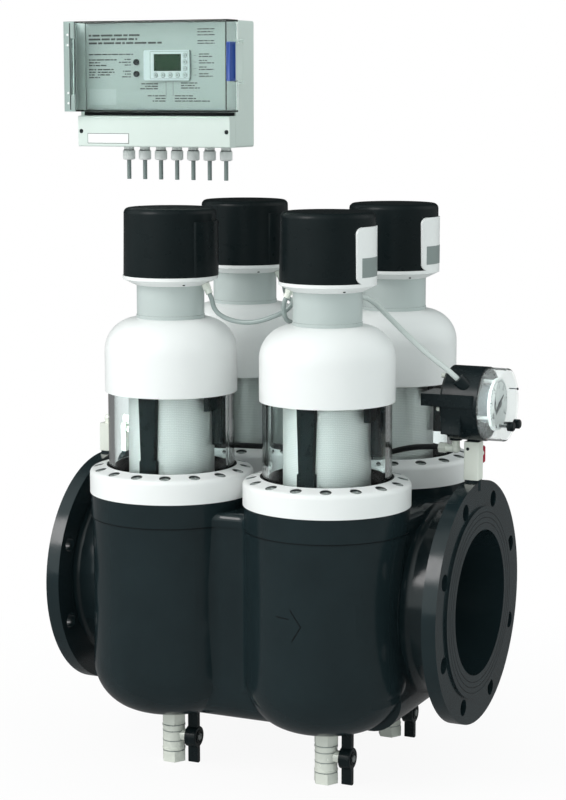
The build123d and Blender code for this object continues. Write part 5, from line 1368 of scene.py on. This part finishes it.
@dataclass
class PressureGauge:
    """The pressure difference gauge: print on its dial, its movement, screws and pin."""

    axis_z: float = 279 * MM
    dial_face: float = 622 * MM
    drum_radius: float = 26 * MM
    drum_back: float = 601.2 * MM
    drum_front: float = 617.6 * MM
    tick_count: int = 31
    tick_start: float = 210.0
    tick_sweep: float = 240.0
    tick_radius: float = 31.5 * MM
    tick_inset: float = 1.2 * MM
    long_tick_half: Point = (0.15, 0.8, 2.8)
    short_tick_half: Point = (0.15, 0.5, 1.5)
    ticks_per_number: int = 5
    number_radius: float = 25 * MM
    number_size: float = 8.5 * MM
    pointer_angle: float = 31.0
    tail_box: Box = ((-0.35, 0, -1.1), (0.35, 19, 1.1))
    tail_place: Point = (622.6, 0, 279)
    tail_tip: float = 3 * MM
    tip_share: float = 0.45
    belly_y: float = 9.5 * MM
    belly_share: float = 1.9
    pad_box: Box = ((557, -50.5, 241), (585, -30, 277.6))
    rear_screws: tuple[Point, ...] = ((553.6, -23.5, 318.0), (553.6, -41.5, 274.6))
    pin_place: Point = (628.6, 42, 296)
    pin_head_place: Point = (635.2, 42, 296)

    def spot(self, share: float, reach: float) -> tuple[float, Vector]:
        """Find a spot on the dial.

        Args:
            share: How far along the scale it is, from 0 to 1.
            reach: How far from the pointer's axis.

        Returns:
            The angle there and the place.
        """
        angle = radians(self.tick_start - share * self.tick_sweep)
        centre = Vector((self.dial_face, 0, self.axis_z))
        return angle, centre + Vector((0, reach * cos(angle), reach * sin(angle)))

    def build_print(self) -> None:
        """Print ticks and numbers round the dial."""
        long_half, short_half = at(*self.long_tick_half), at(*self.short_tick_half)
        long_tick = Bench.block("long tick", -long_half, long_half)
        short_tick = Bench.block("short tick", -short_half, short_half)
        last = self.tick_count - 1
        ticks = []
        for number in range(self.tick_count):
            numbered = number % self.ticks_per_number == 0
            reach = self.tick_radius if numbered else self.tick_radius + self.tick_inset
            angle, place = self.spot(number / last, reach)
            turn = Matrix.Rotation(angle - pi / 2, 4, "X")
            kind = long_tick if numbered else short_tick
            ticks.append(Bench.copy(kind, "tick", Matrix.Translation(place) @ turn))
        for blank in (long_tick, short_tick):
            bpy.data.objects.remove(blank)
        INK.dress(Bench.join("dial_ticks", ticks))
        steps = last // self.ticks_per_number
        numbers = []
        for number in range(steps + 1):
            place = self.spot(number / steps, self.number_radius)[1]
            numbers.append(Bench.text("number", str(number), self.number_size, place, Facing.RIGHT))
        INK.dress(Bench.join("dial_numbers", numbers))

    def build_pointer_tail(self) -> None:
        """Give the pointer its broad tail beyond the hub."""
        tail = Bench.box("pointer_tail", self.tail_box)
        Bench.pick(tail, Picked.FACES, towards(y=1))
        bpy.ops.mesh.extrude_region_move(TRANSFORM_OT_translate={"value": (0, self.tail_tip, 0)})
        bpy.ops.transform.resize(value=(1, 1, self.tip_share))
        Bench.pick(tail, Picked.FACES, lambda middle, normal: abs(normal.z) > STRAIGHT)
        bpy.ops.mesh.subdivide(number_cuts=1)
        Bench.clear()
        Bench.pick(tail, Picked.EDGES, lambda middle, run: abs(middle.y - self.belly_y) < 1 * MM)
        bpy.ops.transform.resize(value=(1, 1, self.belly_share))
        Bench.clear()
        turn = Matrix.Rotation(radians(self.pointer_angle), 4, "X")
        tail.matrix_world = Matrix.Translation(at(*self.tail_place)) @ turn
        Bench.only(tail)
        tail = Bench.take("pointer_tail")
        Bench.soften(tail, width=0.15 * MM, segments=1)
        POINTER_COAT.dress(tail, body="gauge_pointer")

    def build_front_pad(self) -> None:
        """Raise the flat pad on the front of the gauge's housing."""
        pad = Bench.box("gauge_front_pad", self.pad_box)
        Bench.sink(pad, towards(y=-1), margin=1.6 * MM, depth=0.5 * MM)
        Bench.soften(pad, width=0.8 * MM)
        BLACK_MOULD.dress(pad)

    def build_movement(self) -> None:
        """Make the grey drum behind the dial."""
        length = self.drum_front - self.drum_back
        centre = Vector(((self.drum_front + self.drum_back) / 2, 0, self.axis_z))
        drum = Bench.cylinder("movement_drum", centre, self.drum_radius, length, Facing.RIGHT, sides=64)
        Bench.sink(drum, towards(x=1), margin=3 * MM, depth=1 * MM)
        Bench.soften(drum, width=0.6 * MM)
        DRUM_COAT.dress(drum)

    def build_screws(self, kit: ScrewKit) -> None:
        """Put the pale hexagon screws on the back and the pin into the window."""
        first = kit.hexagon_screw("rear screw", radius=3.6 * MM, height=5 * MM)
        screws = [Bench.copy(first, "rear", Facing.LEFT.turned(at(*place))) for place in self.rear_screws]
        bpy.data.objects.remove(first)
        NICKEL.dress(Bench.join("gauge_rear_screws", screws))
        pin = Bench.cylinder(
            "pin", at(*self.pin_place), radius=0.7 * MM, depth=13 * MM, facing=Facing.RIGHT, sides=12
        )
        head = Bench.cylinder(
            "head", at(*self.pin_head_place), radius=1.7 * MM, depth=1.6 * MM, facing=Facing.RIGHT, sides=20
        )
        Bench.sink(head, towards(x=1), margin=0.5 * MM, depth=0.4 * MM)
        Bench.soften(head, width=0.2 * MM)
        BLACK_MOULD.dress(Bench.join("window_pin", [head, pin]))

    def build(self, kit: ScrewKit) -> None:
        """Dress the gauge and add its print, movement and screws."""
        BLACK_MOULD.coat("gauge_body", "gauge_knob_1", "gauge_knob_2")
        GAUGE_GLASS.coat("gauge_window")
        DIAL_PRINT.coat("gauge_dial")
        POINTER_COAT.coat("gauge_pointer")
        self.build_print()
        self.build_pointer_tail()
        self.build_front_pad()
        self.build_movement()
        self.build_screws(kit)
        log.info("gauge is dressed")


@dataclass
class MeasuringTaps:
    """The two small taps on the flanges and the hose's fittings."""

    screw_radius: float = 2.2 * MM
    screw_height: float = 1.2 * MM
    screw_place: Point = (582.3, -10.4, 216.2)

    def build(self, kit: ScrewKit) -> None:
        """Dress the taps and put a dark grub screw into the outlet tap's column."""
        NICKEL.coat("tap_bodies", "hose_fittings")
        RED_COAT.coat("inlet_tap_lever", "outlet_tap_lever")
        screw = kit.slotted_screw("grub screw", self.screw_radius, self.screw_height)
        place = Facing.FRONT.turned(at(*self.screw_place))
        placed = Bench.copy(screw, "outlet_tap_grub_screw", place)
        bpy.data.objects.remove(screw)
        BLACK_MOULD.dress(placed)
        log.info("taps are dressed")


@dataclass
class ControlBox:
    """The control box: faceplate, display, keys, lamps, screws, latch and glands."""

    face_y: float = -11.0
    plate_low: tuple[float, float] = (-20.0, 674.0)
    plate_high: tuple[float, float] = (229.4, 800.0)
    module_y: float = -17.0
    lamp_x: float = 72.8
    lamp_places: tuple[float, ...] = (743.3, 726.5)
    key_places: tuple[tuple[float, float], ...] = (
        (153.4, 724.6),
        (153.4, 733.8),
        (153.4, 743.0),
        (153.4, 752.2),
        (141.7, 724.6),
        (130.0, 724.6),
        (118.3, 724.6),
        (106.6, 724.6),
    )
    key_front: float = -18.5
    bezel_y: float = -12.8
    lens_y: float = -14.1
    strip_screw_place: tuple[float, float] = (-20.0, -47.95)
    strip_screws: tuple[float, ...] = (781.9, 767.5, 699.5, 684.9)
    terminal_screws: tuple[Point, ...] = ((-9.5, -28.6, 645.0), (225.0, -28.6, 645.0))
    film_y: float = -11.3
    gland_place: tuple[float, float] = (42.0, 18.0)
    gland_count: int = 7
    gland_step: float = 26.4
    gland_bore: float = 3.3 * MM
    bore_z: float = 610.0
    gland_foot: float = 1.6 * MM
    gland_foot_share: float = 0.74
    nut_z: float = 610.6
    neck_z: float = 619.9
    collar_z: float = 617.2
    glass_box: Box = ((103.4, -16.5, 730.5), (147.1, -15.9, 754.4))
    hinge_seal_box: Box = ((-17.3, -48.7, 675.5), (-16.0, -47.9, 798.5))
    hinge_backing_box: Box = ((-25.5, -14.0, 675.0), (-10.5, -11.1, 799.0))
    # The dark strip in the gap under the cover is painted shadow
    foot_seal_box: Box = ((-13.5, -14.5, 667.5), (228.5, -11.05, 672.4))
    grip_box: Box = ((234.2, -48.8, 716.0), (239.8, -30.5, 770.0))
    arm_box: Box = ((236.9, -31.0, 717.0), (238.9, -5.0, 769.0))
    label_rim_box: Box = ((1.0, -31.25, 627.5), (69.0, -30.95, 642.0))
    label_box: Box = ((1.7, -31.4, 628.2), (68.3, -31.2, 641.3))
    bar_depth: float = 0.24
    bar_edge: float = 0.06
    runs: tuple[float, ...] = (5.0, 2.6, 6.5, 3.4, 1.6, 4.4, 7.2)
    shortest_run: float = 0.8
    gap: float = 0.75
    leaders: tuple[tuple[float, float, float, float], ...] = (
        (120.0, 704.5, 0.5, 22.0),
        (131.4, 705.5, 0.5, 20.0),
        (166.5, 724.6, 4.0, 0.5),
        (166.5, 733.8, 4.0, 0.5),
        (166.5, 743.0, 4.0, 0.5),
        (166.5, 752.2, 4.0, 0.5),
    )
    border: tuple[tuple[float, float, float, float], ...] = (
        (97.6, 738.7, 0.5, 38.0),
        (127.8, 758.0, 60.4, 0.4),
        (127.8, 719.4, 60.4, 0.4),
        (158.2, 738.7, 0.4, 38.6),
    )
    title_x: float = -6.0
    title_lines: tuple[tuple[float, float], ...] = ((781.5, 84.0), (776.0, 80.0), (770.5, 121.0))
    left_lines: tuple[tuple[float, float, float], ...] = (
        (-6, 754.5, 73),
        (-6, 746.8, 46),
        (-6, 742.8, 18),
        (-6, 738.8, 29),
        (-6, 733.0, 12),
        (8.5, 733.0, 26),
        (-6, 729.2, 11),
        (8.5, 729.2, 29),
        (-6, 725.4, 9),
        (8.5, 725.4, 20),
        (-6, 721.6, 18),
    )
    lamp_lines: tuple[tuple[float, float, float], ...] = (
        (63, 747.3, 10),
        (63, 743.3, 19),
        (63, 739.3, 11),
        (63, 730.5, 13),
        (63, 726.5, 10),
        (63, 722.5, 16),
    )
    key_lines: tuple[tuple[float, float, float], ...] = (
        (172.8, 754.0, 16),
        (172.8, 750.6, 22),
        (172.8, 745.0, 13),
        (172.8, 741.6, 24),
        (172.8, 735.8, 12),
        (172.8, 732.4, 24),
        (172.8, 726.4, 15),
        (172.8, 723.0, 22),
        (170.8, 789.0, 27),
        (170.8, 785.0, 24),
        (170.8, 780.8, 27),
        (170.8, 772.6, 26),
        (170.8, 769.0, 27),
    )
    inner_lines: tuple[tuple[float, float, float], ...] = (
        (107.0, 712.5, 27),
        (107.0, 709.0, 21),
        (107.0, 705.5, 30),
        (119.0, 695.5, 29),
        (119.0, 691.8, 16),
        (119.0, 688.1, 22),
        (144.0, 713.5, 27),
        (144.0, 710.0, 22),
        (144.0, 706.5, 30),
        (134.0, 695.5, 30),
        (134.0, 691.8, 34),
        (134.0, 688.1, 56),
    )
    inner_split: float = 125.0
    field_low: tuple[float, float] = (-6.0, 682.5)
    field_high: tuple[float, float] = (38.5, 705.0)
    field_proud: float = 0.2
    field_root: float = 0.1
    blank: Piece | None = None

    def bar(self, x: float, z: float, width: float, height: float, surface: float) -> Piece:
        """Lay one thin printed bar on the box's front.

        Args:
            x: Its middle across, in millimetres like the rest.
            z: Its middle up.
            width: Its size across.
            height: Its size up.
            surface: The front that carries it.

        Returns:
            The bar.
        """
        if self.blank is None:
            half = Vector((0.5, 0.5, 0.5))
            self.blank = Bench.block("blank bar", -half, half)
            Bench.soften(self.blank, width=self.bar_edge, segments=1)
        size = Matrix.Diagonal((*at(width, self.bar_depth, height), 1))
        return Bench.copy(self.blank, "bar", Matrix.Translation(at(x, surface, z)) @ size)

    def words(self, x: float, z: float, width: float, height: float, from_right: bool = False) -> list[Piece]:
        """Lay a ruled line broken like a line of print, with no letters in it.

        Args:
            x: Where it starts, or ends when it is set from the right.
            z: Its middle up.
            width: Its whole length.
            height: Its thickness.
            from_right: Whether it runs to the left.

        Returns:
            Its bars.
        """
        bars, done, turn = [], 0.0, int(z)
        while done < width - self.shortest_run:
            run = min(self.runs[turn % len(self.runs)] * height, width - done)
            middle = done + run / 2
            bars.append(self.bar(x - middle if from_right else x + middle, z, run, height, self.film_y))
            done += run + self.gap * height
            turn += 1
        return bars

    def build_faceplate(self) -> None:
        """Lay the printed film on the case: blank fields and lines without letters."""
        low = at(self.plate_low[0], self.film_y, self.plate_low[1])
        high = at(self.plate_high[0], self.face_y, self.plate_high[1])
        plate = Bench.block("faceplate_film", low, high)
        Bench.soften(plate, width=0.1 * MM, segments=1)
        FACEPLATE.dress(plate)
        leaders = [self.bar(*leader, self.film_y) for leader in self.leaders]
        FAINT_INK.dress(Bench.join("faceplate_leaders", leaders))
        titles = []
        for z, width in self.title_lines:
            titles += self.words(self.title_x, z, width, height=2.7)
        INK.dress(Bench.join("faceplate_titles", titles))
        small = []
        for x, z, width in self.left_lines:
            small += self.words(x, z, width, height=1.7)
        for x, z, width in self.lamp_lines:
            small += self.words(x, z, width, height=1.5, from_right=True)
        for x, z, width in self.key_lines:
            small += self.words(x, z, width, height=1.5)
        for x, z, width in self.inner_lines:
            small += self.words(x, z, width, height=1.6, from_right=x < self.inner_split)
        INK.dress(Bench.join("faceplate_small_lines", small))
        field_low = at(self.field_low[0], self.film_y - self.field_proud, self.field_low[1])
        field_high = at(self.field_high[0], self.film_y + self.field_root, self.field_high[1])
        blank_field = Bench.block("faceplate_blank_field", field_low, field_high)
        Bench.sink(blank_field, towards(y=-1), margin=0.9 * MM, depth=0.1 * MM)
        LABEL_FILM.dress(blank_field)

    def build_lamps(self) -> None:
        """Put a black bezel with a dark lens over each signal lamp."""
        front = Facing.FRONT
        bezels, lenses = [], []
        for z in self.lamp_places:
            place = at(self.lamp_x, self.bezel_y, z)
            bezel = Bench.cylinder("bezel", place, radius=4.3 * MM, depth=3.2 * MM, facing=front, sides=40)
            Bench.sink(bezel, towards(y=-1), margin=1.2 * MM, depth=0.5 * MM)
            Bench.soften(bezel, width=0.25 * MM)
            bezels.append(bezel)
            place = at(self.lamp_x, self.lens_y, z)
            lens = Bench.cylinder("lens", place, radius=1.2 * MM, depth=0.8 * MM, facing=front, sides=20)
            Bench.soften(lens, width=0.3 * MM, segments=3)
            lenses.append(lens)
        BLACK_MOULD.dress(Bench.join("lamp_bezels", bezels))
        CAP_MOULD.dress(Bench.join("lamp_lenses", lenses))

    def build_display(self) -> None:
        """Fit the display glass and draw the module's border line."""
        glass = Bench.box("display_glass", self.glass_box)
        Bench.sink(glass, towards(y=-1), margin=1.2 * MM, depth=0.15 * MM)
        Bench.soften(glass, width=0.08 * MM, segments=1)
        SCREEN_GLASS.dress(glass)
        lines = [self.bar(*line, self.module_y) for line in self.border]
        FAINT_INK.dress(Bench.join("module_border", lines))

    def build_keys(self) -> None:
        """Ring every key and give it a plain mark that moves with it."""
        front = Facing.FRONT
        rings = []
        for number, (x, z) in enumerate(self.key_places, start=1):
            place = at(x, self.module_y, z)
            rings.append(
                Bench.ring(
                    "ring", place, inner=2.95 * MM, outer=3.6 * MM, depth=0.5 * MM, facing=front, sides=32
                )
            )
            place = at(x, self.key_front, z)
            mark = Bench.ring(
                f"key_mark_{number}",
                place,
                inner=0.7 * MM,
                outer=1.5 * MM,
                depth=0.2 * MM,
                facing=front,
                sides=20,
            )
            FAINT_INK.dress(mark, body=f"button_{number}")
            MODULE_MOULD.coat(f"button_{number}")
        FAINT_INK.dress(Bench.join("key_rings", rings))

    def build_seals(self) -> None:
        """Lay the dark seal beside the hinge, the strip behind the hinge, and a dark strip under the cover
        that is painted shadow in the gap there.
        """
        hinge = Bench.box("hinge_seal", self.hinge_seal_box)
        back = Bench.box("hinge_backing", self.hinge_backing_box)
        Bench.soften(back, width=0.6 * MM)
        FACEPLATE.dress(back)
        # Painted shadow: a dark strip where the gap under the cover lies in shade
        foot = Bench.box("cover_foot_shadow_strip", self.foot_seal_box)
        for piece in (hinge, foot):
            Bench.soften(piece, width=0.5 * MM)
            SEAL_AND_SHADOW_RUBBER.dress(piece)

    def build_screws(self, kit: ScrewKit) -> None:
        """Drive the screws of the hinge strip and the terminal cover."""
        small = kit.slotted_screw("strip screw", radius=1.7 * MM, height=0.9 * MM)
        places = [at(*self.strip_screw_place, z) for z in self.strip_screws]
        strip = [Bench.copy(small, "screw", Facing.FRONT.turned(place)) for place in places]
        WHITE_MOULD.dress(Bench.join("strip_screws", strip))
        large = kit.slotted_screw("terminal screw", radius=3.0 * MM, height=3.0 * MM)
        places = [at(*place) for place in self.terminal_screws]
        cover = [Bench.copy(large, "screw", Facing.FRONT.turned(place)) for place in places]
        BLACK_MOULD.dress(Bench.join("terminal_screws", cover))
        for blank in (small, large):
            bpy.data.objects.remove(blank)

    def build_glands(self) -> None:
        """Model the box's cable glands: a threaded neck, a dark collar and a ribbed nut."""
        x, y = self.gland_place
        nut = Bench.cylinder("nut", at(x, y, self.nut_z), radius=9.0 * MM, depth=12.0 * MM, sides=12)
        Bench.pick(nut, Picked.FACES, towards(z=-1))
        bpy.ops.mesh.extrude_region_move(TRANSFORM_OT_translate={"value": (0, 0, -self.gland_foot)})
        bpy.ops.transform.resize(value=(self.gland_foot_share, self.gland_foot_share, 1))
        Bench.clear()
        Bench.soften(nut, width=0.6 * MM)
        neck = Bench.cylinder("neck", at(x, y, self.neck_z), radius=7.4 * MM, depth=6.6 * MM, sides=6)
        Bench.pick(neck, Picked.EDGES, lambda middle, run: abs(run.z) > 5 * MM)
        bpy.ops.mesh.subdivide(number_cuts=3)
        Bench.clear()
        Bench.soften(neck, width=0.4 * MM)
        whole = Bench.join("gland", [nut, neck])
        place = at(x, y, self.collar_z)
        collar = Bench.ring("collar", place, inner=6.2 * MM, outer=7.9 * MM, depth=0.9 * MM, sides=32)
        glands, collars = [], []
        for number in range(self.gland_count):
            step = self.gland_step * number
            place = Matrix.Translation(at(step, 0, 0))
            bored = Bench.copy(whole, "gland", place)
            middle = at(x + step, y, self.bore_z)
            bore = Bench.cylinder("bore cutter", middle, radius=self.gland_bore, depth=40 * MM)
            Bench.cut(bored, bore)
            glands.append(bored)
            collars.append(Bench.copy(collar, "collar", place))
        bpy.data.objects.remove(whole)
        bpy.data.objects.remove(collar)
        gland_set = Bench.join("box_glands", glands)
        WHITE_MOULD.dress(gland_set)
        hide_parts("control_glands")
        SEAL_AND_SHADOW_RUBBER.dress(Bench.join("gland_collars", collars))

    def build_latch(self) -> None:
        """Shape the latch: a ribbed grip at the cover's corner on a plain arm."""
        grip = Bench.box("latch_grip", self.grip_box)
        Bench.sink(grip, towards(x=1), margin=3.2 * MM, depth=0.9 * MM)
        Bench.sink(grip, towards(y=-1), margin=1.3 * MM, depth=0.6 * MM)
        Bench.soften(grip, width=0.45 * MM)
        LATCH_MOULD.dress(grip, body="latch")
        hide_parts("latch")
        arm = Bench.box("latch_arm", self.arm_box)
        Bench.sink(arm, towards(x=1), margin=2.5 * MM, depth=0.5 * MM)
        Bench.soften(arm, width=0.35 * MM)
        CASE_MOULD.dress(arm, body="latch")

    def build_label(self) -> None:
        """Stick a blank framed label on the terminal cover."""
        rim = Bench.box("label_rim", self.label_rim_box)
        Bench.soften(rim, width=0.08 * MM, segments=1)
        FAINT_INK.dress(rim)
        label = Bench.box("terminal_label", self.label_box)
        Bench.soften(label, width=0.06 * MM, segments=1)
        WHITE_MOULD.dress(label)

    def build(self, kit: ScrewKit) -> None:
        """Dress the box and add its front's details."""
        CASE_MOULD.coat("control_box", "terminal_cover")
        COVER_GLASS.coat("box_cover")
        RAIL_GLASS.coat("hinge_strip")
        WHITE_MOULD.coat("control_glands")
        MODULE_MOULD.coat("display_and_lamps")
        CASE_MOULD.coat("latch")
        self.build_faceplate()
        self.build_lamps()
        self.build_display()
        self.build_keys()
        self.build_seals()
        self.build_screws(kit)
        self.build_glands()
        self.build_latch()
        self.build_label()
        bpy.data.objects.remove(self.blank)
        log.info("control box is dressed")


def main() -> None:
    """Build and dress everything in order."""
    logging.basicConfig(level=logging.INFO, format="%(name)s: %(message)s")
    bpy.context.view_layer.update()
    Studio().build()
    Cabling().build()
    kit = ScrewKit()
    units = FilterUnits()
    CastBody().build(list(units.centres.values()))
    units.build(kit)
    PressureGauge().build(kit)
    MeasuringTaps().build(kit)
    ControlBox().build(kit)
    bpy.context.view_layer.update()
    log.info("sizes are written")


if __name__ == "__main__":
    main()
